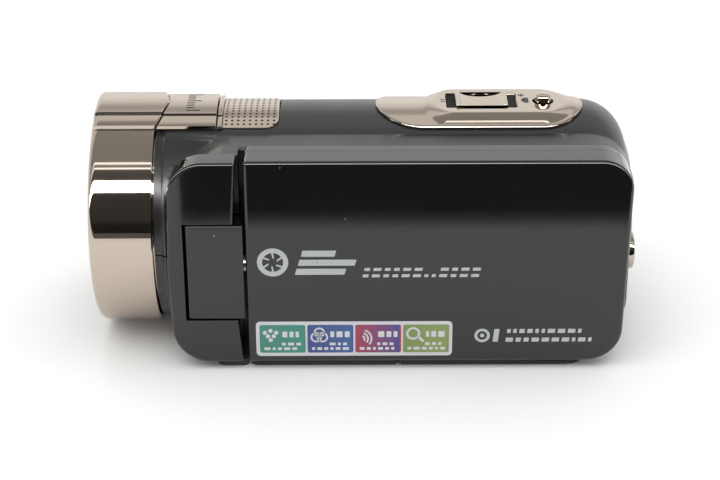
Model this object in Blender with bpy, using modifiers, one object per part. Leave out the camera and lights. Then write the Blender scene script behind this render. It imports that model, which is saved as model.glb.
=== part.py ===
"""Pocket camcorder with a side-opening display lid and a hand strap.

World frame: +Z up, the lens looks along -X, the display lid is on the -Y side and the
hand strap on the +Y side. The origin is the bottom centre of the whole object.
Lengths in this script are millimetres; MM turns them into metres when a mesh is made.
"""
import math

import bmesh
import bpy
from mathutils import Vector

MM = 0.001

# Whole object
LENGTH = 125.2
DEPTH = 66.0
FRONT_X = -LENGTH / 2
REAR_X = LENGTH / 2
FACE_Y = -DEPTH / 2          # outer face of the display lid
GAP = 0.3                    # clearance between neighbouring pieces

# Optical axis and case
AXIS_Y = FACE_Y + 28.6
AXIS_Z = 27.6
BODY_R = 25.7
WALL = 1.8
CASE_BOTTOM_Z = 1.9
LEDGE_Z = 50.9
CASE_REAR_X = 60.9
REAR_ROUND = 10.5

# Lens ring, brow plate and microphone grille
RING_R = 26.2
RING_REAR_X = FRONT_X + 14.5
HUMP_HEIGHT = 1.1
HUMP_FLAT = 16.5             # degrees either side of the top
HUMP_END = 22.0
BROW_REAR_X = -32.9
GRILLE_REAR_X = -20.2

# Display lid and its hinge
LID_FRONT_X = -27.3
LID_REAR_X = 58.4
LID_LOW_Z = 1.95
LID_HIGH_Z = 51.7
LID_THICK = 9.7
LID_SPLIT = 6.2              # depth of the joint between lid shell and bezel
HINGE_X = -38.2
HINGE_DEPTH = 2.6
HINGE_LOW_Z = 13.2
HINGE_HIGH_Z = 36.4
HINGE_FRONT_X = -40.6
HINGE_BLOCK_DEPTH = 9.0
SWIVEL_Z = (HINGE_LOW_Z + HINGE_HIGH_Z) / 2
SWIVEL_DEPTH = 4.9
BLOCK_FRONT_X = -44.9
BLOCK_REAR_X = -28.7
CHEEK_THICK = 5.8
BAY_DEPTH = 10.0             # wall behind the lid

# Base
BASE_THICK = 1.6

# Top controls
PANEL_FRONT_X = 2.0
PANEL_REAR_X = 49.7
PANEL_HALF = 10.5
PANEL_Y = FACE_Y + 29.5
PLATEAU_Z = 54.4
LEVER_X = 26.4
PHOTO_X = 40.6
PHOTO_Y = FACE_Y + 29.0
PHOTO_TOP_Z = 56.3

# Rear controls
RECORD_Y = FACE_Y + 22.0
RECORD_Z = 19.6
PORT_LOW_Z = 29.5
PORT_HIGH_Z = 38.5
PORT_LOW_Y = -3.0
PORT_HIGH_Y = 8.0

# Hand strap
STRAP_Z = 24.0
STRAP_WIDTH = 18.0
LUG_FRONT_X = -36.0
LUG_REAR_X = 45.0

PARTS = "camcorder"
CUTTERS = "camcorder_cutters"


def depth(distance):
    """World y of a point that lies this far behind the lid's outer face."""
    return FACE_Y + distance


# ---------------------------------------------------------------- scene and materials

def clear_scene():
    for obj in list(bpy.data.objects):
        bpy.data.objects.remove(obj, do_unlink=True)
    for name in (PARTS, CUTTERS):
        if name not in bpy.data.collections:
            collection = bpy.data.collections.new(name)
            bpy.context.scene.collection.children.link(collection)


def finish_material(name, color, roughness, metallic=0.0):
    material = bpy.data.materials.get(name) or bpy.data.materials.new(name)
    material.use_nodes = True
    shader = material.node_tree.nodes["Principled BSDF"]
    shader.inputs["Base Color"].default_value = (*color, 1.0)
    shader.inputs["Roughness"].default_value = roughness
    shader.inputs["Metallic"].default_value = metallic
    material.diffuse_color = (*color, 1.0)
    return material


FINISHES = {
    "gloss_black": ((0.012, 0.012, 0.013), 0.12, 0.0),
    "satin_black": ((0.022, 0.022, 0.024), 0.38, 0.0),
    "rubber": ((0.03, 0.03, 0.03), 0.7, 0.0),
    "black_chrome": ((0.42, 0.37, 0.34), 0.08, 1.0),
    "steel": ((0.6, 0.6, 0.6), 0.3, 1.0),
    "brass": ((0.7, 0.52, 0.25), 0.3, 1.0),
    "glass": ((0.04, 0.05, 0.07), 0.03, 0.0),
    "screen": ((0.02, 0.02, 0.025), 0.1, 0.0),
    "circuit": ((0.02, 0.12, 0.06), 0.5, 0.0),
    "lamp": ((0.9, 0.9, 0.8), 0.3, 0.0),
    "battery": ((0.1, 0.1, 0.12), 0.45, 0.0),
    "webbing": ((0.02, 0.02, 0.02), 0.85, 0.0),
}


# ---------------------------------------------------------------- shape helpers

def place(name, bm, finish=None, origin=(0.0, 0.0, 0.0), smooth=True):
    """Turn a bmesh in millimetres into an object in metres, with its own origin."""
    bmesh.ops.remove_doubles(bm, verts=bm.verts, dist=0.0005)
    bmesh.ops.recalc_face_normals(bm, faces=bm.faces)
    middle = Vector(origin)
    for vert in bm.verts:
        vert.co = (vert.co - middle) * MM
    mesh = bpy.data.meshes.new(name)
    bm.to_mesh(mesh)
    bm.free()
    if smooth:
        mesh.shade_smooth()
        mesh.set_sharp_from_angle(angle=math.radians(35))
    obj = bpy.data.objects.new(name, mesh)
    obj.location = middle * MM
    if finish:
        obj.data.materials.append(finish_material(finish, *FINISHES[finish]))
        bpy.data.collections[PARTS].objects.link(obj)
    else:
        obj.hide_render = True
        obj.display_type = 'WIRE'
        bpy.data.collections[CUTTERS].objects.link(obj)
    return obj


def cut(obj, *cutters, operation='DIFFERENCE'):
    for cutter in cutters:
        modifier = obj.modifiers.new(f"{operation.lower()} {cutter.name}", 'BOOLEAN')
        modifier.operation = operation
        modifier.solver = 'EXACT'
        modifier.object = cutter
    return obj


def join(obj, *others):
    return cut(obj, *others, operation='UNION')


def block(low, high, bevel=0.0, segments=2):
    """Box between two corners, with all its edges rounded when bevel is given."""
    bm = bmesh.new()
    bmesh.ops.create_cube(bm, size=1.0)
    for vert in bm.verts:
        vert.co = Vector(((low[i] + high[i]) / 2 + vert.co[i] * (high[i] - low[i])
                          for i in range(3)))
    if bevel:
        bmesh.ops.bevel(bm, geom=bm.edges[:], offset=bevel, segments=segments,
                        profile=0.5, affect='EDGES')
    return bm


def rod(axis, center, radius, low, high, segments=24):
    """Cylinder along a world axis; center gives the two other coordinates in x, y, z order."""
    bm = bmesh.new()
    bmesh.ops.create_cone(bm, cap_ends=True, segments=segments, radius1=radius,
                          radius2=radius, depth=high - low)
    middle = (low + high) / 2
    for vert in bm.verts:
        x, y, z = vert.co
        if axis == 'X':
            vert.co = Vector((z + middle, center[0] + x, center[1] + y))
        elif axis == 'Y':
            vert.co = Vector((center[0] + x, z + middle, center[1] + y))
        else:
            vert.co = Vector((center[0] + x, center[1] + y, z + middle))
    return bm


def arc(center, radius, start, end, steps):
    """Points of an arc, in degrees counted from the first axis towards the second."""
    points = []
    for i in range(steps + 1):
        angle = math.radians(start + (end - start) * i / steps)
        points.append((center[0] + radius * math.cos(angle),
                       center[1] + radius * math.sin(angle)))
    return points


def rounded(corners, steps=5):
    """Outline through corners (u, v, radius), each corner replaced by a tangent arc."""
    outline = []
    count = len(corners)
    for i, (u, v, radius) in enumerate(corners):
        here = Vector((u, v))
        if radius <= 0:
            outline.append((u, v))
            continue
        before = (Vector(corners[i - 1][:2]) - here).normalized()
        after = (Vector(corners[(i + 1) % count][:2]) - here).normalized()
        half = before.angle(after) / 2
        center = here + (before + after).normalized() * radius / math.sin(half)
        first = here + before * radius / math.tan(half) - center
        last = here + after * radius / math.tan(half) - center
        turn = first.angle_signed(last)
        for k in range(steps + 1):
            angle = -turn * k / steps
            outline.append((center.x + first.x * math.cos(angle) - first.y * math.sin(angle),
                            center.y + first.x * math.sin(angle) + first.y * math.cos(angle)))
    return outline


def rectangle(u0, v0, u1, v1, radius=0.0):
    return [(u0, v0, radius), (u1, v0, radius), (u1, v1, radius), (u0, v1, radius)]


def plate(axis, outline, low, high):
    """Flat outline, filled as a 2D curve and extruded between two places on an axis.

    The outline is given in (y, z) for axis X, (x, z) for axis Y and (x, y) for axis Z.
    """
    curve = bpy.data.curves.new("outline", 'CURVE')
    curve.dimensions = '2D'
    curve.fill_mode = 'BOTH'
    curve.extrude = (high - low) / 2
    spline = curve.splines.new('POLY')
    spline.points.add(len(outline) - 1)
    for point, (u, v) in zip(spline.points, outline):
        point.co = (u, v, 0.0, 1.0)
    spline.use_cyclic_u = True
    holder = bpy.data.objects.new("outline", curve)
    bpy.context.scene.collection.objects.link(holder)
    graph = bpy.context.evaluated_depsgraph_get()
    mesh = bpy.data.meshes.new_from_object(holder.evaluated_get(graph))
    bm = bmesh.new()
    bm.from_mesh(mesh)
    bpy.data.objects.remove(holder, do_unlink=True)
    bpy.data.curves.remove(curve)
    bpy.data.meshes.remove(mesh)
    bmesh.ops.remove_doubles(bm, verts=bm.verts, dist=0.001)
    middle = (low + high) / 2
    for vert in bm.verts:
        u, v, w = vert.co
        if axis == 'X':
            vert.co = Vector((w + middle, u, v))
        elif axis == 'Y':
            vert.co = Vector((u, w + middle, v))
        else:
            vert.co = Vector((u, v, w + middle))
    bmesh.ops.recalc_face_normals(bm, faces=bm.faces)
    return bm


def turned(profile, steps=48):
    """Profile (x, r) turned about the optical axis with a Screw modifier.

    A profile that starts and ends on the axis gives a solid; any other one is closed
    into a ring.
    """
    bm = bmesh.new()
    verts = [bm.verts.new((r, 0.0, x)) for x, r in profile]
    for a, b in zip(verts, verts[1:]):
        bm.edges.new((a, b))
    if profile[0][1] > 0:
        bm.edges.new((verts[-1], verts[0]))
    mesh = bpy.data.meshes.new("profile")
    bm.to_mesh(mesh)
    bm.free()
    holder = bpy.data.objects.new("profile", mesh)
    bpy.context.scene.collection.objects.link(holder)
    screw = holder.modifiers.new("turn", 'SCREW')
    screw.steps = steps
    screw.render_steps = steps
    screw.use_merge_vertices = True
    screw.merge_threshold = 0.0001
    graph = bpy.context.evaluated_depsgraph_get()
    result = bpy.data.meshes.new_from_object(holder.evaluated_get(graph))
    bm = bmesh.new()
    bm.from_mesh(result)
    bpy.data.objects.remove(holder, do_unlink=True)
    bpy.data.meshes.remove(result)
    bpy.data.meshes.remove(mesh)
    for vert in bm.verts:
        u, v, w = vert.co
        vert.co = Vector((w, AXIS_Y + u, AXIS_Z + v))
    bmesh.ops.remove_doubles(bm, verts=bm.verts, dist=0.001)
    bmesh.ops.recalc_face_normals(bm, faces=bm.faces)
    return bm


def hump(angle):
    """Height of the brow above the ring at an angle, in degrees, from the top."""
    away = abs((angle + 180) % 360 - 180)
    if away >= HUMP_END:
        return 0.0
    if away <= HUMP_FLAT:
        return HUMP_HEIGHT
    share = (HUMP_END - away) / (HUMP_END - HUMP_FLAT)
    return HUMP_HEIGHT * share * share * (3 - 2 * share)


def sector(profile, start, end, steps):
    """Loft of a closed profile (x, r, hump share) round the optical axis.

    Angles are in degrees from the top; a sector shorter than a turn gets end caps.
    """
    bm = bmesh.new()
    whole = end - start >= 360
    rows = []
    for i in range(steps if whole else steps + 1):
        degrees = start + (end - start) * i / steps
        angle = math.radians(degrees)
        row = []
        for x, r, share in profile:
            radius = r + share * hump(degrees)
            row.append(bm.verts.new((x, AXIS_Y + radius * math.sin(angle),
                                     AXIS_Z + radius * math.cos(angle))))
        rows.append(row)
    pairs = list(zip(rows, rows[1:]))
    if whole:
        pairs.append((rows[-1], rows[0]))
    count = len(profile)
    for first, second in pairs:
        for k in range(count):
            bm.faces.new((first[k], first[(k + 1) % count],
                          second[(k + 1) % count], second[k]))
    if not whole:
        bm.faces.new(rows[0])
        bm.faces.new(rows[-1][::-1])
        bmesh.ops.triangulate(bm, faces=[f for f in bm.faces if len(f.verts) > 4])
    bmesh.ops.recalc_face_normals(bm, faces=bm.faces)
    return bm


# ---------------------------------------------------------------- case

def case_profile(inset):
    """Half section of the round case: barrel front, long body, domed rear."""
    rear = CASE_REAR_X - inset
    radius = BODY_R - inset
    corner = REAR_ROUND - inset
    shoulder = CASE_REAR_X - 0.9 - REAR_ROUND
    points = [(rear, 0.0), (rear - 0.3, radius - corner)]
    points += arc((shoulder, radius - corner), corner, 20, 90, 8)
    return points


def case_outline(inset):
    """Outline, in x and z, of the flat-sided half of the case that carries the lid."""
    front = BLOCK_FRONT_X + inset
    rear = CASE_REAR_X - 0.9 - inset
    low = CASE_BOTTOM_Z + inset
    high = LEDGE_Z - inset
    return rounded([(front, low, 9.0 - inset), (rear, low, REAR_ROUND - inset),
                    (rear, high, REAR_ROUND - inset), (front, high, 14.5 - inset)], steps=7)


def solid_round(name, inset, front):
    profile = case_profile(inset)
    if inset:
        profile += [(front, BODY_R - inset), (front, 0.0)]
    else:
        profile += [(front + 2.0, BODY_R), (front + 1.6, BODY_R - 0.6),
                    (front, BODY_R - 0.6), (front, 0.0)]
    return place(name, turned(profile, steps=56))


def cheek_side():
    """The part of the flat-sided outline in front of the lid, squared off at its rear."""
    outline = [(x, z) for x, z in case_outline(0.0) if x < BLOCK_REAR_X]
    outline += [(BLOCK_REAR_X, LEDGE_Z), (BLOCK_REAR_X, CASE_BOTTOM_Z)]
    middle = ((BLOCK_FRONT_X + BLOCK_REAR_X) / 2, (CASE_BOTTOM_Z + LEDGE_Z) / 2)
    return sorted(outline, key=lambda p: math.atan2(p[1] - middle[1], p[0] - middle[0]))


SCREWS = ((-38.0, 14.6), (-38.0, 43.2), (54.0, 14.0), (44.0, 44.0))
POST_R = 3.1
SCREW_HEAD_Z = 15.0
SCREW_TIP_Z = 38.0


def case_hollow():
    """Cutters for the inside of the case, with a screw post left standing at each screw."""
    front = RING_REAR_X + GAP
    inner_wall = BAY_DEPTH + WALL
    hollow_round = solid_round("case_hollow_round", WALL, front - 5.0)
    hollow_flat = place("case_hollow_flat", plate('Y', case_outline(WALL), depth(inner_wall),
                                                  AXIS_Y + 1.0))
    cut(hollow_round, place("case_hollow_limit", block((front + 2.6, depth(-5.0), -5.0),
                                                       (80.0, depth(inner_wall + 0.4), 60.0))))
    join(hollow_round, hollow_flat)
    for number, (x, behind) in enumerate(SCREWS, start=1):
        cut(hollow_round, place(f"post_{number}", rod('Z', (x, depth(behind)), POST_R,
                                                      -5.0, 60.0, 20)))
    return hollow_round


def case_shells():
    """Upper and lower case halves: one hollow form parted at the height of the lens axis."""
    hollow = case_hollow()
    pocket = place("hinge_pocket", block((-41.1, depth(-2.0), HINGE_LOW_Z - 0.4),
                                         (-28.0, depth(9.9), HINGE_HIGH_Z + 0.4)))
    swing = place("hinge_swing", rod('Z', (HINGE_X, depth(HINGE_DEPTH)), 3.5,
                                     HINGE_LOW_Z - 0.4, HINGE_HIGH_Z + 0.4))
    window = place("bay_window", plate('Y', rounded(rectangle(-26.0, 6.0, 50.0, 47.0, 3.0)),
                                       depth(8.0), depth(14.0)))
    lid_room = place("lid_room", block((BLOCK_REAR_X - 0.6, depth(-5.0), -5.0),
                                       (80.0, depth(BAY_DEPTH + 0.4), 60.0)))
    cheek_room = place("cheek_room", block((BLOCK_FRONT_X - 0.3, depth(-5.0), -5.0),
                                           (BLOCK_REAR_X + 0.4, depth(CHEEK_THICK + 0.7), 60.0)))
    for name, low, high in (("case_top", AXIS_Z + GAP / 2, 70.0),
                            ("case_bottom", -10.0, AXIS_Z - GAP / 2)):
        shell = solid_round(name, 0.0, RING_REAR_X + GAP)
        shell.hide_render = False
        shell.display_type = 'TEXTURED'
        shell.data.materials.append(finish_material("satin_black", *FINISHES["satin_black"]))
        bpy.data.collections[CUTTERS].objects.unlink(shell)
        bpy.data.collections[PARTS].objects.link(shell)
        cut(shell, lid_room, cheek_room)
        join(shell, place(name + "_flat", plate('Y', case_outline(0.0), depth(BAY_DEPTH),
                                                AXIS_Y - 0.5)),
             place(name + "_step", plate('Y', cheek_side(), depth(CHEEK_THICK + GAP),
                                         depth(BAY_DEPTH + 1.0))))
        cut(shell, hollow, window, pocket, swing)
        half = place(name + "_half", block((-80.0, -60.0, low), (80.0, 60.0, high)))
        cut(shell, half, operation='INTERSECT')
    return pocket, swing


def case_screws(top, bottom):
    """Four long screws, sunk in wells from below, that clamp the two case halves."""
    for number, (x, behind) in enumerate(SCREWS, start=1):
        center = (x, depth(behind))
        head_top = SCREW_HEAD_Z + 1.5
        cut(bottom, place(f"well_{number}", rod('Z', center, 2.3, -2.0, head_top + GAP, 20)),
            place(f"shank_bore_{number}", rod('Z', center, 1.3, SCREW_HEAD_Z, 40.0, 12)))
        cut(top, place(f"thread_bore_{number}", rod('Z', center, 1.3, 20.0,
                                                    SCREW_TIP_Z + GAP, 12)))
        screw = place(f"case_screw_{number}", rod('Z', center, 2.0, SCREW_HEAD_Z, head_top, 20),
                      "steel")
        join(screw, place(f"shank_{number}", rod('Z', center, 1.0, SCREW_HEAD_Z + 1.0,
                                                 SCREW_TIP_Z, 12)))
        cut(screw, place(f"drive_{number}", rod('Z', center, 0.9, SCREW_HEAD_Z - 1.0,
                                                SCREW_HEAD_Z + 0.8, 6)))


# ---------------------------------------------------------------- lens end

def lens_ring():
    """Plated ring round the front, with a low hump on top and a spigot into the case."""
    bore = 22.4
    spigot = BODY_R - WALL - GAP
    profile = [(FRONT_X + 2.4, bore, 0.0), (FRONT_X + 0.5, 24.0, 0.0)]
    for x, r in arc((FRONT_X + 1.8, RING_R - 1.8), 1.8, 180, 90, 4):
        profile.append((x, r, 1.0 if r > RING_R - 1.2 else 0.5))
    profile += [(RING_REAR_X, RING_R, 1.0), (RING_REAR_X, spigot, 0.0),
                (RING_REAR_X + 2.5, spigot, 0.0), (RING_REAR_X + 2.5, bore, 0.0)]
    place("lens_ring", sector(profile, -180, 180, 90), "black_chrome")


def front_optics():
    bezel = place("front_bezel", turned([
        (FRONT_X + 3.4, 21.9), (FRONT_X + 6.8, 11.6), (FRONT_X + 5.9, 10.5),
        (FRONT_X + 9.0, 10.5), (FRONT_X + 9.0, 12.0), (FRONT_X + 5.2, 21.9)]), "satin_black")
    lamp = (AXIS_Y, AXIS_Z - 16.2)
    cut(bezel, place("lamp_hole", rod('X', lamp, 2.7, FRONT_X, FRONT_X + 12.0)))
    place("lamp_window", rod('X', lamp, 2.4, FRONT_X + 4.4, FRONT_X + 5.6), "glass")
    place("lamp_led", rod('X', lamp, 1.9, FRONT_X + 6.0, FRONT_X + 11.0), "lamp")
    place("lens_barrel", turned([
        (FRONT_X + 5.4, 10.1), (FRONT_X + 5.4, 8.6), (FRONT_X + 6.4, 8.0),
        (FRONT_X + 7.0, 8.0), (FRONT_X + 7.0, 9.0), (-30.0, 9.0), (-30.0, 10.1)]),
        "satin_black")
    front = [(FRONT_X + 7.3 + 1.1 * (1 - math.sqrt(1 - (r / 9.5) ** 2)) * 2, r)
             for r in (0.0, 2.5, 5.0, 7.0, 8.6)]
    place("front_lens", turned(front + [(FRONT_X + 11.2, 8.6), (FRONT_X + 10.2, 0.0)]), "glass")
    place("rear_lens", turned([(-38.4, 0.0), (-37.8, 4.5), (-36.8, 8.6), (-35.2, 8.6),
                               (-34.2, 4.5), (-33.6, 0.0)]), "glass")
    for name, finish, half, low, high in (
            ("ir_filter", "glass", 5.0, -29.6, -29.0),
            ("image_sensor", "screen", 4.2, -28.6, -27.5),
            ("sensor_board", "circuit", 11.0, -27.2, -26.0)):
        place(name, block((low, AXIS_Y - half, AXIS_Z - half),
                          (high, AXIS_Y + half, AXIS_Z + half)), finish)


def brow_and_grille(top):
    """Plated plate behind the ring, and the microphone grille let into the upper case."""
    inner = BODY_R + GAP
    outer = RING_R
    front = RING_REAR_X + 0.5
    groove = BROW_REAR_X - 1.2
    profile = [(front, inner, 0.0), (front, outer, 1.0), (groove - 0.3, outer, 1.0),
               (groove, outer - 0.1, 0.7), (groove + 0.3, outer, 0.8),
               (BROW_REAR_X, outer, 0.8), (BROW_REAR_X, inner, 0.0)]
    place("brow_plate", sector(profile, -HUMP_END, HUMP_END, 20), "black_chrome")

    low, high = BODY_R - 0.8, BODY_R + 0.3
    grille_front = BROW_REAR_X + GAP
    band = [(grille_front, low, 0.0), (grille_front, high, 0.0),
            (GRILLE_REAR_X, high, 0.0), (GRILLE_REAR_X, low, 0.0)]
    place("mic_grille", sector(band, -20.5, 20.5, 16), "black_chrome")
    seat = [(grille_front - 0.3, low - 0.3, 0.0), (grille_front - 0.3, BODY_R + 3.0, 0.0),
            (GRILLE_REAR_X + 0.3, BODY_R + 3.0, 0.0), (GRILLE_REAR_X + 0.3, low - 0.3, 0.0)]
    cut(top, place("grille_seat", sector(seat, -21.3, 21.3, 16)))
    for side, name in ((-1, "microphone_left"), (1, "microphone_right")):
        place(name, rod('Z', (-26.5, AXIS_Y + side * 5.0), 3.0, 46.2, 48.9), "steel")


# ---------------------------------------------------------------- cheek and hinge

def cheek_cover(pocket, swing):
    """Glossy cover in front of the lid; its edge leans away from the lid at the hinge."""
    outline = rounded([(-44.9, 26.0, 20.0), (-44.0, 1.9, 8.5), (-28.2, 1.9, 0.4),
                       (-29.2, HINGE_LOW_Z - 0.3, 0.0), (-29.7, HINGE_HIGH_Z + 0.3, 0.0),
                       (-28.9, 51.4, 0.4), (-43.9, 51.4, 8.0)], steps=6)
    cheek = place("cheek_cover", plate('Y', outline, depth(0.0), depth(CHEEK_THICK)),
                  "gloss_black")
    for name, low, high in (("cheek_hollow_top", 41.5, 48.8), ("cheek_hollow_low", 4.2, 8.4)):
        cut(cheek, place(name, block((-41.0, depth(1.6), low), (-32.0, depth(9.0), high))))
    pin_hole = place("pin_hole", rod('Z', (HINGE_X, depth(HINGE_DEPTH)), 1.1, 9.2, 40.8, 16))
    cut(cheek, pocket, swing, pin_hole)
    place("hinge_pin", rod('Z', (HINGE_X, depth(HINGE_DEPTH)), 0.8, 9.6, 40.4, 16), "steel")


def lid_hinge():
    """Block that turns on the upright pin, and the hollow shaft on which the lid swivels."""
    axis = (HINGE_X, depth(HINGE_DEPTH), 0.0)
    rear = LID_FRONT_X - 0.4
    outline = rounded([(HINGE_FRONT_X, depth(0.0), 0.8), (rear, depth(0.0), 0.3),
                       (rear, depth(HINGE_BLOCK_DEPTH), 0.3),
                       (HINGE_FRONT_X, depth(HINGE_BLOCK_DEPTH - 2.0), 1.0)], steps=4)
    cover = place("hinge_cover", plate('Z', outline, HINGE_LOW_Z, HINGE_HIGH_Z),
                  "gloss_black", axis)
    shaft_center = (depth(SWIVEL_DEPTH), SWIVEL_Z)
    cut(cover, place("cover_hollow", block(
            (HINGE_FRONT_X + 0.75, depth(0.95), HINGE_LOW_Z + 1.0),
            (rear - 1.0, depth(12.0), HINGE_HIGH_Z - 1.0))),
        place("cover_pin_hole", rod('Z', axis[:2], 1.1, 5.0, 45.0, 16)),
        place("cover_shaft_hole", rod('X', shaft_center, 2.5, rear - 2.0, rear + 2.0)))
    bracket = place("hinge_bracket", rod('Z', axis[:2], 1.35, HINGE_LOW_Z + 1.3,
                                         HINGE_HIGH_Z - 1.3), "steel", axis)
    join(bracket, place("bracket_arm", block((HINGE_X - 0.2, depth(2.9), SWIVEL_Z - 7.0),
                                             (-31.5, depth(3.9), SWIVEL_Z + 7.0))),
         place("bracket_boss", block((-34.8, depth(3.5), SWIVEL_Z - 4.5),
                                     (-31.5, depth(8.2), SWIVEL_Z + 4.5))))
    cut(bracket, place("bracket_pin_hole", rod('Z', axis[:2], 1.0, 5.0, 45.0, 16)),
        place("bracket_shaft_hole", rod('X', shaft_center, 2.3, -36.5, -25.0)))
    shaft = place("swivel_shaft", rod('X', shaft_center, 2.0, -34.5, -19.0), "steel", axis)
    cut(shaft, place("shaft_bore", rod('X', shaft_center, 1.2, -40.0, -15.0, 16)))


# ---------------------------------------------------------------- display lid

def lid_outline(inset):
    return rounded([(LID_FRONT_X + inset, LID_LOW_Z + inset, 0.6),
                    (LID_REAR_X - 0.6 - inset, LID_LOW_Z + inset, 8.0 - inset),
                    (LID_REAR_X + 0.2 - inset, LID_HIGH_Z - inset, 7.2 - inset),
                    (LID_FRONT_X + inset, LID_HIGH_Z - inset, 0.6)], steps=6)


# the window in the bezel: low x, low z, high x, high z
SCREEN = (-15.2, 7.6, 51.6, 45.4)


def display_lid():
    axis = (HINGE_X, depth(HINGE_DEPTH), 0.0)
    shell = place("lcd_back", plate('Y', lid_outline(0.0), depth(0.0), depth(LID_SPLIT)),
                  "gloss_black", axis)
    bezel = place("lcd_bezel", plate('Y', lid_outline(0.0), depth(LID_SPLIT + 0.3),
                                     depth(LID_THICK)), "gloss_black", axis)
    hollow = place("lid_hollow", plate('Y', lid_outline(1.5), depth(1.6), depth(8.2)))
    shaft_hole = place("lid_shaft_hole", rod('X', (depth(SWIVEL_DEPTH), SWIVEL_Z), 2.3,
                                             LID_FRONT_X - 2.0, -18.0))
    cut(shell, hollow, shaft_hole)
    cut(bezel, hollow, place("bezel_window", plate('Y', rounded(rectangle(*SCREEN, 0.8)),
                                                   depth(5.0), depth(14.0))), shaft_hole)
    u0, v0, u1, v1 = SCREEN
    for name, finish, grow, near, far in (("lcd_window", "glass", -0.3, 8.5, 9.4),
                                          ("lcd_panel", "screen", -0.3, 6.3, 8.2),
                                          ("lcd_backlight", "steel", 1.2, 3.2, 6.0)):
        place(name, block((u0 - grow, depth(near), v0 - grow),
                          (u1 + grow, depth(far), v1 + grow)), finish, axis)


# ---------------------------------------------------------------- bay behind the lid

BAY_BUTTONS = (("power_button", 39.0), ("play_button", 31.0),
               ("menu_button", 23.0), ("lamp_button", 15.0))
BAY_BUTTON_X = -17.5
SPEAKER = (34.0, 18.0)


def bay():
    """Inner side panel with four keys and the speaker slots, and what lies behind it."""
    panel = place("bay_panel", plate('Y', rounded(rectangle(-25.7, 6.3, 49.7, 46.7, 2.7)),
                                     depth(BAY_DEPTH), depth(BAY_DEPTH + 1.5)), "satin_black")
    for name, z in BAY_BUTTONS:
        opening = rectangle(BAY_BUTTON_X - 4.8, z - 2.5, BAY_BUTTON_X + 4.8, z + 2.5, 2.4)
        cut(panel, place(name + "_hole", plate('Y', rounded(opening), depth(9.0), depth(13.0))))
        cap = rectangle(BAY_BUTTON_X - 4.4, z - 2.1, BAY_BUTTON_X + 4.4, z + 2.1, 2.0)
        origin = (BAY_BUTTON_X, depth(BAY_DEPTH), z)
        button = place(name, plate('Y', rounded(cap), depth(BAY_DEPTH), depth(12.4)),
                       "satin_black", origin)
        flange = block((BAY_BUTTON_X - 5.4, depth(11.8), z - 3.0),
                       (BAY_BUTTON_X + 5.4, depth(12.6), z + 3.0))
        join(button, place(name + "_flange", flange))
    for k in range(-2, 3):
        slot = rectangle(SPEAKER[0] - 6.0, SPEAKER[1] + 2.6 * k - 0.6,
                         SPEAKER[0] + 6.0, SPEAKER[1] + 2.6 * k + 0.6, 0.55)
        cut(panel, place(f"speaker_slot_{k + 3}", plate('Y', rounded(slot, 2), depth(9.0),
                                                        depth(13.0))))
    place("speaker", rod('Y', SPEAKER, 8.0, depth(11.9), depth(14.6), 32), "steel")
    place("main_board", block((-23.0, depth(15.0), 8.0), (46.0, depth(16.2), 45.0)), "circuit")


# ---------------------------------------------------------------- top controls

def eye(half, front, rear, straight_front, straight_rear, steps=7):
    """Almond outline: straight sides between two long pointed-oval ends."""
    points = []
    for side in (-1, 1):
        ends = ((front, straight_front), (rear, straight_rear))
        if side > 0:
            ends = ends[::-1]
        for k, (tip, straight) in enumerate(ends):
            for i in range(steps):
                share = i / (steps - 1)
                turn = share if k == 0 else 1 - share
                x = tip + (straight - tip) * (1 - math.cos(turn * math.pi / 2))
                points.append((x, PANEL_Y + side * half * math.sin(turn * math.pi / 2)))
    unique = []
    for point in points:
        if not unique or math.dist(point, unique[-1]) > 0.05:
            unique.append(point)
    return unique


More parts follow.
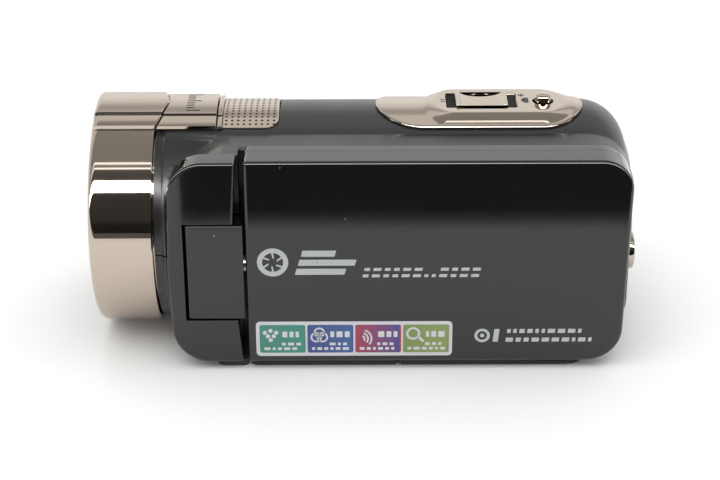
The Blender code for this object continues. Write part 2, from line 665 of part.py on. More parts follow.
def top_controls(top):
    """Plated panel with a raised plateau, the zoom slider and the still-picture button."""
    skin = place("control_panel", plate('Z', eye(PANEL_HALF, PANEL_FRONT_X, PANEL_REAR_X,
                                                 13.0, 40.0), 45.0, 60.0), "black_chrome")
    cut(skin, place("panel_top_form", rod('X', (AXIS_Y, AXIS_Z), BODY_R + 0.75, -20.0, 70.0, 96)),
        operation='INTERSECT')
    low = eye(PANEL_HALF - 0.6, 12.6, PANEL_REAR_X - 1.0, 17.5, 40.0)
    high = eye(PANEL_HALF - 3.7, 15.6, PANEL_REAR_X - 4.2, 19.5, 40.0)
    bm = bmesh.new()
    rings = [[bm.verts.new((x, y, z)) for x, y in outline]
             for outline, z in ((low, 46.0), (low, 51.4), (high, PLATEAU_Z))]
    for lower, upper in zip(rings, rings[1:]):
        for k in range(len(lower)):
            bm.faces.new((lower[k - 1], lower[k], upper[k], upper[k - 1]))
    bm.faces.new(rings[0][::-1])
    bm.faces.new(rings[-1])
    bmesh.ops.triangulate(bm, faces=[f for f in bm.faces if len(f.verts) > 4])
    join(skin, place("plateau", bm))
    cut(skin, place("panel_seat_form", rod('X', (AXIS_Y, AXIS_Z), BODY_R + GAP, -30.0, 80.0, 96)))
    recess = block((18.3, PANEL_Y - 4.6, 54.0), (34.5, PANEL_Y + 4.6, 58.0))
    cut(skin, place("lever_recess", recess),
        place("lever_slot", block((21.6, PANEL_Y - 2.6, 45.0), (31.2, PANEL_Y + 2.6, 58.0))),
        place("photo_hole", rod('Z', (PHOTO_X, PHOTO_Y), 2.45, 45.0, 60.0)))
    cut(top, place("lever_well", block((21.6, PANEL_Y - 2.6, 45.0), (31.2, PANEL_Y + 2.6, 58.0))),
        place("photo_well", rod('Z', (PHOTO_X, PHOTO_Y), 1.5, 45.0, 60.0)))

    saddle = [(20.4, 54.3), (32.4, 54.3), (32.4, 55.0), (31.4, 55.5)]
    saddle += [(LEVER_X + 4.6 * math.cos(a), 55.5 - 0.6 * math.sin(a))
               for a in (math.radians(30 * k) for k in range(7))]
    saddle += [(21.4, 55.5), (20.4, 55.0)]
    lever = place("zoom_lever", plate('Y', saddle, PANEL_Y - 4.2, PANEL_Y + 4.2),
                  "black_chrome", (LEVER_X, PANEL_Y, 55.0))
    join(lever, place("lever_stem", block((LEVER_X - 2.2, PANEL_Y - 2.2, 49.8),
                                          (LEVER_X + 2.2, PANEL_Y + 2.2, 54.6))))
    button = place("photo_button", rod('Z', (PHOTO_X, PHOTO_Y), 1.9, 54.1, PHOTO_TOP_Z, 32),
                   "black_chrome", (PHOTO_X, PHOTO_Y, PHOTO_TOP_Z))
    join(button, place("photo_stem", rod('Z', (PHOTO_X, PHOTO_Y), 1.0, 49.4, 54.6, 16)))
    place("key_board", block((16.0, AXIS_Y - 6.0, 44.6), (46.0, AXIS_Y + 8.0, 45.6)), "circuit")
    place("zoom_switch", block((LEVER_X - 4.0, PANEL_Y - 3.0, 45.9),
                               (LEVER_X + 4.0, PANEL_Y + 3.0, 49.4)), "steel")
    place("photo_switch", block((PHOTO_X - 3.0, PHOTO_Y - 3.0, 45.9),
                                (PHOTO_X + 3.0, PHOTO_Y + 3.0, 48.5)), "steel")


# ---------------------------------------------------------------- rear

def rear_controls(top, bottom):
    """Record key, socket cover and the small board that carries switch and sockets."""
    center = (RECORD_Y, RECORD_Z)
    cut(bottom, place("record_hole", rod('X', center, 4.9, 57.6, 66.0, 32)))
    key = place("record_button", rod('X', center, 4.5, 58.6, REAR_X, 32), "black_chrome",
                (REAR_X, RECORD_Y, RECORD_Z))
    join(key, place("record_stem", rod('X', center, 1.6, 55.9, 59.0, 16)))
    place("record_switch", block((51.7, RECORD_Y - 3.0, RECORD_Z - 3.0),
                                 (54.6, RECORD_Y + 3.0, RECORD_Z + 3.0)), "steel")
    place("rear_board", block((50.2, depth(18.6), 11.0), (51.4, depth(45.0), 42.0)), "circuit")

    window = rounded(rectangle(PORT_LOW_Y, PORT_LOW_Z, PORT_HIGH_Y, PORT_HIGH_Z, 1.4), 3)
    cut(top, place("port_window", plate('X', window, 52.0, 66.0)))
    inset = rounded(rectangle(PORT_LOW_Y + 0.3, PORT_LOW_Z + 0.3, PORT_HIGH_Y - 0.3,
                              PORT_HIGH_Z - 0.3, 1.2), 3)
    place("port_cover", plate('X', inset, 59.3, 61.1), "rubber",
          (61.1, (PORT_LOW_Y + PORT_HIGH_Y) / 2, PORT_LOW_Z + 0.3))
    for name, half, low_z, high_z in (("usb_socket", 3.9, 35.0, 37.9),
                                      ("hdmi_socket", 4.8, 30.3, 33.4)):
        middle = (PORT_LOW_Y + PORT_HIGH_Y) / 2
        socket = place(name, block((51.7, middle - half, low_z), (58.8, middle + half, high_z)),
                       "steel")
        mouth = block((53.0, middle - half + 0.45, low_z + 0.45),
                      (60.0, middle + half - 0.45, high_z - 0.45))
        cut(socket, place(name + "_mouth", mouth))


# ---------------------------------------------------------------- base, battery and card

BATTERY = ((13.5, depth(30.0), 4.8), (48.0, depth(39.4), 40.4))
CARD = ((15.0, depth(20.6), 4.0), (43.0, depth(24.2), 30.0))
TRIPOD = (-8.0, depth(24.0))


def base(bottom):
    """Feet and battery door under the case, the tripod bush, battery and card socket."""
    under = place("case_underside", rod('X', (AXIS_Y, AXIS_Z), BODY_R + GAP, -80.0, 80.0, 96))
    above = place("base_top_cut", block((-80.0, depth(-20.0), BASE_THICK),
                                        (80.0, AXIS_Y, 40.0)))
    pieces = {}
    for name, low_x, high_x, radii in (
            ("front_foot", -34.7, -27.4, (2.0, 1.0)), ("base_plate", -26.9, 6.7, (1.5, 1.0)),
            ("battery_door", 7.0, 50.3, (1.0, 5.0))):
        near, far = depth(2.0), depth(40.0)
        outline = rounded([(low_x, near, radii[0]), (high_x, near, radii[1]),
                           (high_x, far, radii[1]), (low_x, far, radii[0])], 4)
        piece = place(name, plate('Z', outline, 0.0, 7.0), "rubber")
        cut(piece, above, under)
        pieces[name] = piece
    cut(pieces["base_plate"], place("tripod_hole", rod('Z', TRIPOD, 5.2, -3.0, 12.0, 32)))
    bush = place("tripod_bush", rod('Z', TRIPOD, 4.9, 0.3, 9.0, 32), "brass")
    join(bush, place("bush_flange", rod('Z', TRIPOD, 7.5, 4.1, 5.4, 32)))
    cut(bush, place("tripod_thread", rod('Z', TRIPOD, 3.0, -2.0, 7.5, 24)))
    battery_mouth = block((BATTERY[0][0] - 0.4, BATTERY[0][1] - 0.4, -1.0),
                          (BATTERY[1][0] + 0.4, BATTERY[1][1] + 0.4, 7.0))
    card_mouth = block((CARD[0][0] + 1.5, CARD[0][1] + 0.4, -1.0),
                       (CARD[1][0] - 1.5, CARD[1][1] - 0.4, 8.0))
    cut(bottom, place("tripod_case_hole", rod('Z', TRIPOD, 5.2, -3.0, 12.0, 32)),
        place("battery_mouth", battery_mouth), place("card_mouth", card_mouth))
    place("battery_pack", block(*BATTERY, bevel=1.0), "battery")
    place("battery_contacts", block((26.0, depth(32.0), 40.8), (36.0, depth(37.4), 43.6)), "brass")
    card = place("card_socket", block(*CARD), "steel")
    cut(card, place("card_slot", block((CARD[0][0] + 1.0, CARD[0][1] + 0.6, 0.0),
                                       (CARD[1][0] - 1.0, CARD[1][1] - 0.6, 28.8))))


# ---------------------------------------------------------------- hand strap

def strap_path():
    """Centre line of the webbing, from one folded end round the lug bar to the other."""
    bar = 58.4
    half = [(-24.0, 60.3), (-29.0, 59.0), (-33.0, 57.0), (LUG_FRONT_X, 56.3),
            (LUG_FRONT_X - 2.0, 56.9), (LUG_FRONT_X - 2.6, bar), (LUG_FRONT_X - 2.0, 59.9),
            (LUG_FRONT_X, 60.6), (-29.0, 61.8), (-20.0, 63.3), (-10.0, 64.6)]
    shift = LUG_REAR_X + LUG_FRONT_X
    mirrored = [(shift - x, y) for x, y in reversed(half)]
    return half + [(shift / 2, 65.5)] + mirrored


def smooth_line(points, per_span=3):
    """Catmull-Rom curve through the given points."""
    result = []
    for i in range(len(points) - 1):
        p0 = Vector(points[max(i - 1, 0)])
        p1, p2 = Vector(points[i]), Vector(points[i + 1])
        p3 = Vector(points[min(i + 2, len(points) - 1)])
        for k in range(per_span):
            t = k / per_span
            result.append(0.5 * (2 * p1 + (p2 - p0) * t + (2 * p0 - 5 * p1 + 4 * p2 - p3) * t ** 2
                                 + (3 * p1 - p0 - 3 * p2 + p3) * t ** 3))
    result.append(Vector(points[-1]))
    return result


def hand_strap():
    """Two lugs on the grip side, the webbing threaded through them, and its hand pad."""
    for name, x in (("strap_lug_front", LUG_FRONT_X), ("strap_lug_rear", LUG_REAR_X)):
        lug = place(name, block((x - 1.5, depth(44.0), STRAP_Z - 12.0),
                                (x + 1.5, depth(59.4), STRAP_Z + 12.0), 0.5), "satin_black")
        cut(lug, place(name + "_slot", block((x - 5.0, depth(55.1), STRAP_Z - 9.5),
                                             (x + 5.0, depth(57.4), STRAP_Z + 9.5))),
            place(name + "_seat", rod('X', (AXIS_Y, AXIS_Z), BODY_R + GAP, x - 9.0, x + 9.0, 96)))
    bm = bmesh.new()
    line = smooth_line(strap_path())
    low = [bm.verts.new((p.x, depth(p.y), STRAP_Z - STRAP_WIDTH / 2)) for p in line]
    high = [bm.verts.new((p.x, depth(p.y), STRAP_Z + STRAP_WIDTH / 2)) for p in line]
    for k in range(len(line) - 1):
        bm.faces.new((low[k], low[k + 1], high[k + 1], high[k]))
    band = place("strap_band", bm, "webbing")
    wall = band.modifiers.new("webbing thickness", 'SOLIDIFY')
    wall.thickness = 1.0 * MM
    wall.offset = 0.0

    middle = (LUG_REAR_X + LUG_FRONT_X) / 2
    bm = bmesh.new()
    low_row, high_row = [], []
    for k in range(13):
        x = middle - 24.0 + 4.0 * k
        y = depth(62.6 - 0.0034 * (x - middle) ** 2)
        low_row.append(bm.verts.new((x, y, STRAP_Z - 12.0)))
        high_row.append(bm.verts.new((x, y, STRAP_Z + 12.0)))
    for k in range(12):
        bm.faces.new((low_row[k], low_row[k + 1], high_row[k + 1], high_row[k]))
    pad = place("strap_pad", bm, "webbing")
    fill = pad.modifiers.new("pad thickness", 'SOLIDIFY')
    fill.thickness = 3.4 * MM
    fill.offset = 0.0


def weld(obj):
    """Close the hair-thin slivers that a long chain of cuts leaves behind."""
    modifier = obj.modifiers.new("weld slivers", 'WELD')
    modifier.merge_threshold = 0.00002


def build():
    clear_scene()
    pocket, swing = case_shells()
    top = bpy.data.objects["case_top"]
    bottom = bpy.data.objects["case_bottom"]
    case_screws(top, bottom)
    lens_ring()
    front_optics()
    brow_and_grille(top)
    cheek_cover(pocket, swing)
    lid_hinge()
    display_lid()
    bay()
    top_controls(top)
    rear_controls(top, bottom)
    base(bottom)
    hand_strap()
    weld(top)
    weld(bottom)


build()
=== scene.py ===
import math
import random

import bmesh
import bpy
from mathutils import Matrix, Vector


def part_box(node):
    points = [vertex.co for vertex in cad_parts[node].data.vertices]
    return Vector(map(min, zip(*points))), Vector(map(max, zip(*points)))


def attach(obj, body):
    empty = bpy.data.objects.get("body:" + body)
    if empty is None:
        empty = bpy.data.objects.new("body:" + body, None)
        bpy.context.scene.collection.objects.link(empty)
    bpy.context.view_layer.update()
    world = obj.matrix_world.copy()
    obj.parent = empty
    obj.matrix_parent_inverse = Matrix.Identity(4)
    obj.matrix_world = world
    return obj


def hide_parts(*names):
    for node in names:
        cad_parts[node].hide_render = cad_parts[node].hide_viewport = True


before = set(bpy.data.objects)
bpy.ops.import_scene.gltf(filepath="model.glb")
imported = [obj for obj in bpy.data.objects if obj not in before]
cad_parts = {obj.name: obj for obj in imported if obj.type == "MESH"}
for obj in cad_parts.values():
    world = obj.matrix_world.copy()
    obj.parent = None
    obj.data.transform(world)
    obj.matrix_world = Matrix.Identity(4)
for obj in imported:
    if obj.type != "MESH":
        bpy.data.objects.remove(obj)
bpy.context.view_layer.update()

mm = 0.001

# ------------------------------------------------------------------ case halves
# Two injection-moulded shells of satin black ABS, parted level with the lens axis and
# clamped by four long screws. A round tube carries the optics, and a flat-sided half
# with a shoulder ledge carries the display lid. The mould is finely spark-eroded.

ring_low, ring_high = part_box("lens_ring")
top_low, top_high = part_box("case_top")
floor_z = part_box("case_bottom")[0].z
bay_low, bay_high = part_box("bay_panel")
block_low, block_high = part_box("cheek_cover")
lens_y = (ring_low.y + ring_high.y) / 2
lens_z = ring_low.z + (ring_high.y - ring_low.y) / 2
body_r = top_high.y - lens_y
case_front, case_rear = top_low.x, top_high.x
rear_round = 10.5 * mm
wall = 1.8 * mm
ledge_z = lens_z + 23.3 * mm
block_rear = -28.7 * mm
clearance = 0.3 * mm


def flat_faces_first(obj):
    """Large faces keep their own normals, so a soft rim doesn't bend the flats beside it."""
    weigh = obj.modifiers.new("normals", 'WEIGHTED_NORMAL')
    weigh.keep_sharp = True
    weigh.weight = 100
    graph = bpy.context.evaluated_depsgraph_get()
    result = bpy.data.meshes.new_from_object(obj.evaluated_get(graph))
    obj.modifiers.clear()
    obj.data = result
    return obj


def piece(name, bm, material, sharp=30):
    """A finished mesh object at the origin, faces outward, smooth up to an angle."""
    bmesh.ops.remove_doubles(bm, verts=bm.verts, dist=1e-7)
    bmesh.ops.recalc_face_normals(bm, faces=bm.faces)
    mesh = bpy.data.meshes.new(name)
    bm.to_mesh(mesh)
    bm.free()
    mesh.shade_smooth()
    mesh.set_sharp_from_angle(angle=math.radians(sharp))
    obj = bpy.data.objects.new(name, mesh)
    obj.data.materials.append(material)
    bpy.context.scene.collection.objects.link(obj)
    return flat_faces_first(obj)


def skin(rings, closed=True, caps=True):
    """Quads between rings of points; caps fill the first and the last ring."""
    bm = bmesh.new()
    rows = [[bm.verts.new(p) for p in ring] for ring in rings]
    for first, second in zip(rows, rows[1:]):
        for k in range(0 if closed else 1, len(first)):
            bm.faces.new((first[k - 1], first[k], second[k], second[k - 1]))
    if caps:
        bm.faces.new(rows[0][::-1])
        bm.faces.new(rows[-1])
    return bm


def arc(u, v, radius, start, end, steps):
    angles = [math.radians(start + (end - start) * i / steps) for i in range(steps + 1)]
    return [(u + radius * math.cos(a), v + radius * math.sin(a)) for a in angles]


def rounded(corners, steps=8):
    """Outline through (u, v, radius) corners, with a tangent arc at each."""
    outline = []
    for i, (u, v, radius) in enumerate(corners):
        here = Vector((u, v))
        if radius <= 0:
            outline.append((u, v))
            continue
        before = (Vector(corners[i - 1][:2]) - here).normalized()
        after = (Vector(corners[(i + 1) % len(corners)][:2]) - here).normalized()
        half = before.angle(after) / 2
        middle = here + (before + after).normalized() * radius / math.sin(half)
        first = here + before * radius / math.tan(half) - middle
        last = here + after * radius / math.tan(half) - middle
        turn = -first.angle_signed(last)
        for k in range(steps + 1):
            c, s = math.cos(turn * k / steps), math.sin(turn * k / steps)
            outline.append((middle.x + first.x * c - first.y * s,
                            middle.y + first.x * s + first.y * c))
    return outline


def box_outline(u0, v0, u1, v1, radius=0.0, steps=6):
    return rounded([(u0, v0, radius), (u1, v0, radius), (u1, v1, radius), (u0, v1, radius)],
                   steps)


def inset(outline, amount):
    """The same outline, counter-clockwise, moved inwards by an amount along its normals."""
    moved = []
    count = len(outline)
    for i, point in enumerate(outline):
        here = Vector(point)
        back = here - Vector(outline[i - 1])
        ahead = Vector(outline[(i + 1) % count]) - here
        normal = (Vector((-back.y, back.x)).normalized()
                  + Vector((-ahead.y, ahead.x)).normalized())
        normal.normalize()
        lean = max(normal.dot(Vector((-ahead.y, ahead.x)).normalized()), 0.4)
        moved.append(tuple(here + normal * amount / lean))
    return moved


def slab(outline, axis, low, high, soft_low=0.0, soft_high=0.0, steps=4):
    """Plate with an outline, its two rims rounded. The outline is (y, z), (x, z) or (x, y)."""
    area = sum(a[0] * b[1] - b[0] * a[1] for a, b in zip(outline, outline[1:] + outline[:1]))
    if area < 0:
        outline = outline[::-1]
    levels = []
    for k in range(steps + 1 if soft_low else 1):
        a = math.pi / 2 * (k / steps if soft_low else 1)
        levels.append((soft_low * (1 - math.sin(a)), low + soft_low * (1 - math.cos(a))))
    for k in range(steps + 1 if soft_high else 1):
        a = math.pi / 2 * (1 - k / steps if soft_high else 1)
        levels.append((soft_high * (1 - math.sin(a)), high - soft_high * (1 - math.cos(a))))
    order = {'X': lambda u, v, w: (w, u, v), 'Y': lambda u, v, w: (u, w, v),
             'Z': lambda u, v, w: (u, v, w)}[axis]
    rings = [[order(u, v, w) for u, v in (inset(outline, shift) if shift else outline)]
             for shift, w in levels]
    bm = skin(rings)
    bmesh.ops.recalc_face_normals(bm, faces=bm.faces)
    return bm


def turned(profile, steps=128, y=None, z=None):
    """Profile (x, r) turned about the lens axis, or about another line along X."""
    y = lens_y if y is None else y
    z = lens_z if z is None else z
    loop = [2 * math.pi * k / steps for k in range(steps)]
    bm = skin([[(x, y + max(r, 1e-9) * math.cos(a), z + max(r, 1e-9) * math.sin(a))
                for a in loop] for x, r in profile], caps=False)
    if profile[0][1] > 0:
        bmesh.ops.bridge_loops(bm, edges=[e for e in bm.edges if e.is_boundary])
    bmesh.ops.remove_doubles(bm, verts=bm.verts, dist=1e-7)
    bmesh.ops.recalc_face_normals(bm, faces=bm.faces)
    return bm


def peg(axis, u, v, radius, low, high, steps=40, soft=0.0):
    """Round peg along an axis; u and v are its place in the other two coordinates."""
    outline = [(u + radius * math.cos(2 * math.pi * k / steps),
                v + radius * math.sin(2 * math.pi * k / steps)) for k in range(steps)]
    return slab(outline, axis, low, high, soft, soft, 3)


def carve(obj, *shapes, operation='DIFFERENCE', sharp=30):
    """Cut shapes out of a piece, or add them to it, and keep the result as its plain mesh."""
    for bm in shapes:
        tool_mesh = bpy.data.meshes.new("tool")
        bmesh.ops.recalc_face_normals(bm, faces=bm.faces)
        bm.to_mesh(tool_mesh)
        bm.free()
        tool = bpy.data.objects.new("tool", tool_mesh)
        bpy.context.scene.collection.objects.link(tool)
        modifier = obj.modifiers.new("cut", 'BOOLEAN')
        modifier.operation = operation
        modifier.solver = 'EXACT'
        modifier.object = tool
        graph = bpy.context.evaluated_depsgraph_get()
        result = bpy.data.meshes.new_from_object(obj.evaluated_get(graph))
        obj.modifiers.clear()
        old = obj.data
        obj.data = result
        bpy.data.objects.remove(tool, do_unlink=True)
        bpy.data.meshes.remove(tool_mesh)
        bpy.data.meshes.remove(old)
    bm = bmesh.new()
    bm.from_mesh(obj.data)
    bmesh.ops.remove_doubles(bm, verts=bm.verts, dist=2e-6)
    bmesh.ops.dissolve_degenerate(bm, edges=bm.edges, dist=1e-6)
    bm.to_mesh(obj.data)
    bm.free()
    obj.data.shade_smooth()
    obj.data.set_sharp_from_angle(angle=math.radians(sharp))
    return flat_faces_first(obj)


def block(low, high):
    outline = box_outline(low[0], low[1], high[0], high[1])
    return slab(outline, 'Z', low[2], high[2])


def new_finish(name, **sockets):
    """A Principled material; sockets such as Base_Color are set straight on the shader."""
    material = bpy.data.materials.new(name)
    material.use_nodes = True
    shader = material.node_tree.nodes["Principled BSDF"]
    for socket, value in sockets.items():
        shader.inputs[socket.replace("_", " ")].default_value = value
    return material, shader


def add_node(material, kind, inputs=None, **settings):
    node = material.node_tree.nodes.new(kind)
    for key, value in settings.items():
        setattr(node, key, value)
    for key, value in (inputs or {}).items():
        if isinstance(value, bpy.types.NodeSocket):
            material.node_tree.links.new(value, node.inputs[key])
        else:
            node.inputs[key].default_value = value
    return node


def speckle(material, shader, color, dust, density, size):
    """Scattered dust motes: pale dots, one in some of the cells of a Voronoi pattern."""
    place = add_node(material, "ShaderNodeTexCoord")
    cells = add_node(material, "ShaderNodeTexVoronoi",
                     {"Vector": place.outputs["Object"], "Scale": density})
    chosen = add_node(material, "ShaderNodeSeparateColor", {"Color": cells.outputs["Color"]})
    rare = add_node(material, "ShaderNodeMath", {0: chosen.outputs["Red"], 1: 0.86},
                    operation='GREATER_THAN')
    small = add_node(material, "ShaderNodeMath",
                     {0: cells.outputs["Distance"], 1: size}, operation='LESS_THAN')
    both = add_node(material, "ShaderNodeMath", {0: rare.outputs[0], 1: small.outputs[0]},
                    operation='MULTIPLY')
    mix = add_node(material, "ShaderNodeMix", {"Factor": both.outputs[0], "A": color, "B": dust},
                   data_type='RGBA')
    material.node_tree.links.new(mix.outputs["Result"], shader.inputs["Base Color"])
    return place


def uneven(material, shader, place, scale, low, high, bump_scale, bump, distance=0.00002):
    """Roughness that drifts between two values, and a fine moulded grain in the bump."""
    drift = add_node(material, "ShaderNodeTexNoise",
                     {"Vector": place.outputs["Object"], "Scale": scale, "Detail": 3.0})
    spread = add_node(material, "ShaderNodeMapRange",
                      {"Value": drift.outputs["Fac"], "From Min": 0.3, "From Max": 0.7,
                       "To Min": low, "To Max": high})
    material.node_tree.links.new(spread.outputs["Result"], shader.inputs["Roughness"])
    grain = add_node(material, "ShaderNodeTexNoise",
                     {"Vector": place.outputs["Object"], "Scale": bump_scale, "Detail": 2.0})
    relief = add_node(material, "ShaderNodeBump",
                      {"Height": grain.outputs["Fac"], "Strength": bump, "Distance": distance})
    material.node_tree.links.new(relief.outputs["Normal"], shader.inputs["Normal"])
    return relief


satin_black, shader = new_finish("satin_black_abs", Specular_IOR_Level=0.55)
place = speckle(satin_black, shader, (0.016, 0.0165, 0.017, 1), (0.35, 0.35, 0.34, 1),
                160.0, 0.035)
uneven(satin_black, shader, place, 60.0, 0.26, 0.34, 5000.0, 0.12)


def half_profile(shrink):
    shoulder = case_rear - 0.9 * mm - rear_round
    centre = body_r - rear_round
    return ([(case_rear - shrink, 0.0), (case_rear - shrink - 0.3 * mm, centre)]
            + arc(shoulder, centre, rear_round - shrink, 14, 90, 14))


def flat_outline(shrink):
    rear = case_rear - 0.9 * mm - shrink
    front = block_low.x + shrink
    return rounded([(front, floor_z + shrink, 9 * mm - shrink),
                    (rear, floor_z + shrink, rear_round - shrink),
                    (rear, ledge_z - shrink, rear_round - shrink),
                    (front, ledge_z - shrink, 14.5 * mm - shrink)], 14)


def flat_front():
    """The stretch of the flat outline that lies in front of the lid."""
    points = [p for p in flat_outline(0.0) if p[0] < block_rear]
    points += [(block_rear, ledge_z), (block_rear, floor_z)]
    centre = ((block_low.x + block_rear) / 2, (floor_z + ledge_z) / 2)
    return sorted(points, key=lambda p: math.atan2(p[1] - centre[1], p[0] - centre[0]))


screws = [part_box(f"case_screw_{k}") for k in range(1, 5)]
lip = 0.6 * mm
case = piece("case", turned(half_profile(0.0) + [
    (case_front + 2.4 * mm, body_r), (case_front + 1.8 * mm, body_r - lip * 0.4),
    (case_front + 1.6 * mm, body_r - lip), (case_front, body_r - lip), (case_front, 0.0)],
    steps=160), satin_black)
carve(case, block((block_rear - 0.6 * mm, block_low.y - 5 * mm, -5 * mm),
                  (80 * mm, bay_low.y + 0.4 * mm, 60 * mm)),
      block((block_low.x - clearance, block_low.y - 5 * mm, -5 * mm),
            (block_rear + 0.4 * mm, block_high.y + 0.7 * mm, 60 * mm)))
carve(case, slab(flat_outline(0.0), 'Y', bay_low.y, lens_y - 0.5 * mm, 0.7 * mm),
      slab(flat_front(), 'Y', block_high.y + clearance, bay_low.y + 1.5 * mm),
      operation='UNION')
hollow = piece("hollow", turned(half_profile(wall) + [
    (case_front - 5 * mm, body_r - wall), (case_front - 5 * mm, 0.0)], steps=96), satin_black)
carve(hollow, block((case_front + 2.6 * mm, block_low.y - 5 * mm, -5 * mm),
                    (80 * mm, bay_low.y + wall + 0.4 * mm, 60 * mm)))
carve(hollow, slab(flat_outline(wall), 'Y', bay_low.y + wall, lens_y + mm), operation='UNION')
for low, high in screws:
    centre = (low + high) / 2
    carve(hollow, peg('Z', centre.x, centre.y, 3.1 * mm, -5 * mm, 60 * mm, 24))


def as_tool(obj):
    """The mesh of a helper object as a bmesh; the object is removed."""
    bm = bmesh.new()
    bm.from_mesh(obj.data)
    bpy.data.objects.remove(obj, do_unlink=True)
    return bm


carve(case, as_tool(hollow))
hinge_low, hinge_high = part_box("hinge_cover")
pin_low, pin_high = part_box("hinge_pin")
pin_x, pin_y = (pin_low.x + pin_high.x) / 2, (pin_low.y + pin_high.y) / 2


def hinge_room():
    """Space in the case and the cheek for the hinge block, and for its corner as it turns."""
    low, high = hinge_low.z - 0.4 * mm, hinge_high.z + 0.4 * mm
    return (block((hinge_low.x - 0.5 * mm, block_low.y - 2 * mm, low),
                  (hinge_high.x - 0.3 * mm, block_low.y + 9.9 * mm, high)),
            peg('Z', pin_x, pin_y, 3.5 * mm, low, high, 48))


record_low, record_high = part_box("record_button")
record_y, record_z = (record_low.y + record_high.y) / 2, (record_low.z + record_high.z) / 2
flap_low, flap_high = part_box("port_cover")
lever_low, lever_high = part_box("zoom_lever")
lever_x, lever_y = (lever_low.x + lever_high.x) / 2, (lever_low.y + lever_high.y) / 2
photo_low, photo_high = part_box("photo_button")
photo_x, photo_y = (photo_low.x + photo_high.x) / 2, (photo_low.y + photo_high.y) / 2
bush_low, bush_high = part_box("tripod_bush")
bush_x, bush_y = (bush_low.x + bush_high.x) / 2, (bush_low.y + bush_high.y) / 2
grille_low, grille_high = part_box("mic_grille")
battery_low, battery_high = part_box("battery_pack")
card_low, card_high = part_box("card_socket")


def roof_outline(x0, x1, half_angle, corner, steps=24):
    """Outline in x and y of a plate on the round roof; its rear corners are rounded."""
    half = body_r * math.sin(math.radians(half_angle))
    return rounded([(x0, lens_y - half, 0.0), (x1, lens_y - half, corner),
                    (x1, lens_y + half, corner), (x0, lens_y + half, 0.0)], steps // 3)


seat = piece("grille_seat", turned([
    (grille_low.x - clearance, body_r - 1.1 * mm), (grille_low.x - clearance, body_r + 3 * mm),
    (grille_high.x + clearance, body_r + 3 * mm), (grille_high.x + clearance, body_r - 1.1 * mm)]),
    satin_black)
carve(seat, slab(roof_outline(grille_low.x - 2 * mm, grille_high.x + clearance, 21.2, 3.3 * mm),
                 'Z', lens_z, lens_z + 40 * mm), operation='INTERSECT')
carve(case, *hinge_room(), as_tool(seat),
      slab(box_outline(bay_low.x - clearance, bay_low.z - clearance, bay_high.x + clearance,
                       bay_high.z + clearance, 3 * mm), 'Y', bay_low.y - 2 * mm,
           bay_low.y + 4 * mm),
      peg('X', record_y, record_z, 4.9 * mm, 57.6 * mm, 66 * mm, 48),
      slab(box_outline(flap_low.y - clearance, flap_low.z - clearance, flap_high.y + clearance,
                       flap_high.z + clearance, 1.4 * mm), 'X', 52 * mm, 66 * mm),
      block((lever_x - 4.8 * mm, lever_y - 2.6 * mm, 45 * mm),
            (lever_x + 4.8 * mm, lever_y + 2.6 * mm, 58 * mm)),
      peg('Z', photo_x, photo_y, 1.5 * mm, 45 * mm, 60 * mm),
      peg('Z', bush_x, bush_y, 5.2 * mm, -3 * mm, 12 * mm, 48),
      block((battery_low.x - 0.4 * mm, battery_low.y - 0.4 * mm, -mm),
            (battery_high.x + 0.4 * mm, battery_high.y + 0.4 * mm, 7 * mm)),
      block((card_low.x + 1.5 * mm, card_low.y + 0.4 * mm, -mm),
            (card_high.x - 1.5 * mm, card_high.y - 0.4 * mm, 8 * mm)))
for low, high in screws:
    centre = (low + high) / 2
    carve(case, peg('Z', centre.x, centre.y, 2.3 * mm, -2 * mm, low.z + 1.8 * mm, 32),
          peg('Z', centre.x, centre.y, 1.3 * mm, low.z, 38.3 * mm, 16))
for name, node, low, high in (
        ("case_upper_shell", "case_top", lens_z + clearance / 2, 80 * mm),
        ("case_lower_shell", "case_bottom", -10 * mm, lens_z - clearance / 2)):
    shell = case.copy()
    shell.data = case.data.copy()
    shell.name = name
    bpy.context.scene.collection.objects.link(shell)
    carve(shell, block((-80 * mm, -60 * mm, low), (80 * mm, 60 * mm, high)),
          operation='INTERSECT', sharp=16)
    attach(shell, "camera_body")
    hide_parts(node)
bpy.data.objects.remove(case, do_unlink=True)

# ------------------------------------------------------------------ lens ring
# Moulded ABS ring, vacuum plated with dark nickel to a mirror. It carries a low flat
# brow on top, a chamfer at its rear edge, and a spigot that snaps into the case.

black_nickel, shader = new_finish("dark_nickel_plate", Metallic=1.0,
                                  Base_Color=(0.53, 0.455, 0.385, 1), Roughness=0.05)
place = add_node(black_nickel, "ShaderNodeTexCoord")
uneven(black_nickel, shader, place, 90.0, 0.035, 0.075, 900.0, 0.012)

ring_r = (ring_high.y - ring_low.y) / 2
ring_front, ring_rear = ring_low.x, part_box("brow_plate")[0].x - 0.5 * mm
ring_crown = 1.45
brow_rise = ring_high.z - lens_z - ring_r
brow_shape = ((0.0, 1.0), (12.9, 1.0), (13.4, 0.65), (21.1, 0.5), (21.7, 0.0), (180.0, 0.0))


def brow(degrees):
    """Height of the brow at an angle from the top: a low step on either side of its crown."""
    away = abs((degrees + 180) % 360 - 180)
    for (a, high), (b, low) in zip(brow_shape, brow_shape[1:]):
        if away <= b:
            return brow_rise * (high + (low - high) * (away - a) / (b - a))
    return 0.0


def lean(degrees):
    """How far the joint between ring and brow plate slants to the rear, near the crown."""
    away = min(abs((degrees + 180) % 360 - 180) / 21.7, 1.0)
    return 2.7 * mm * (1 - away) ** 0.7


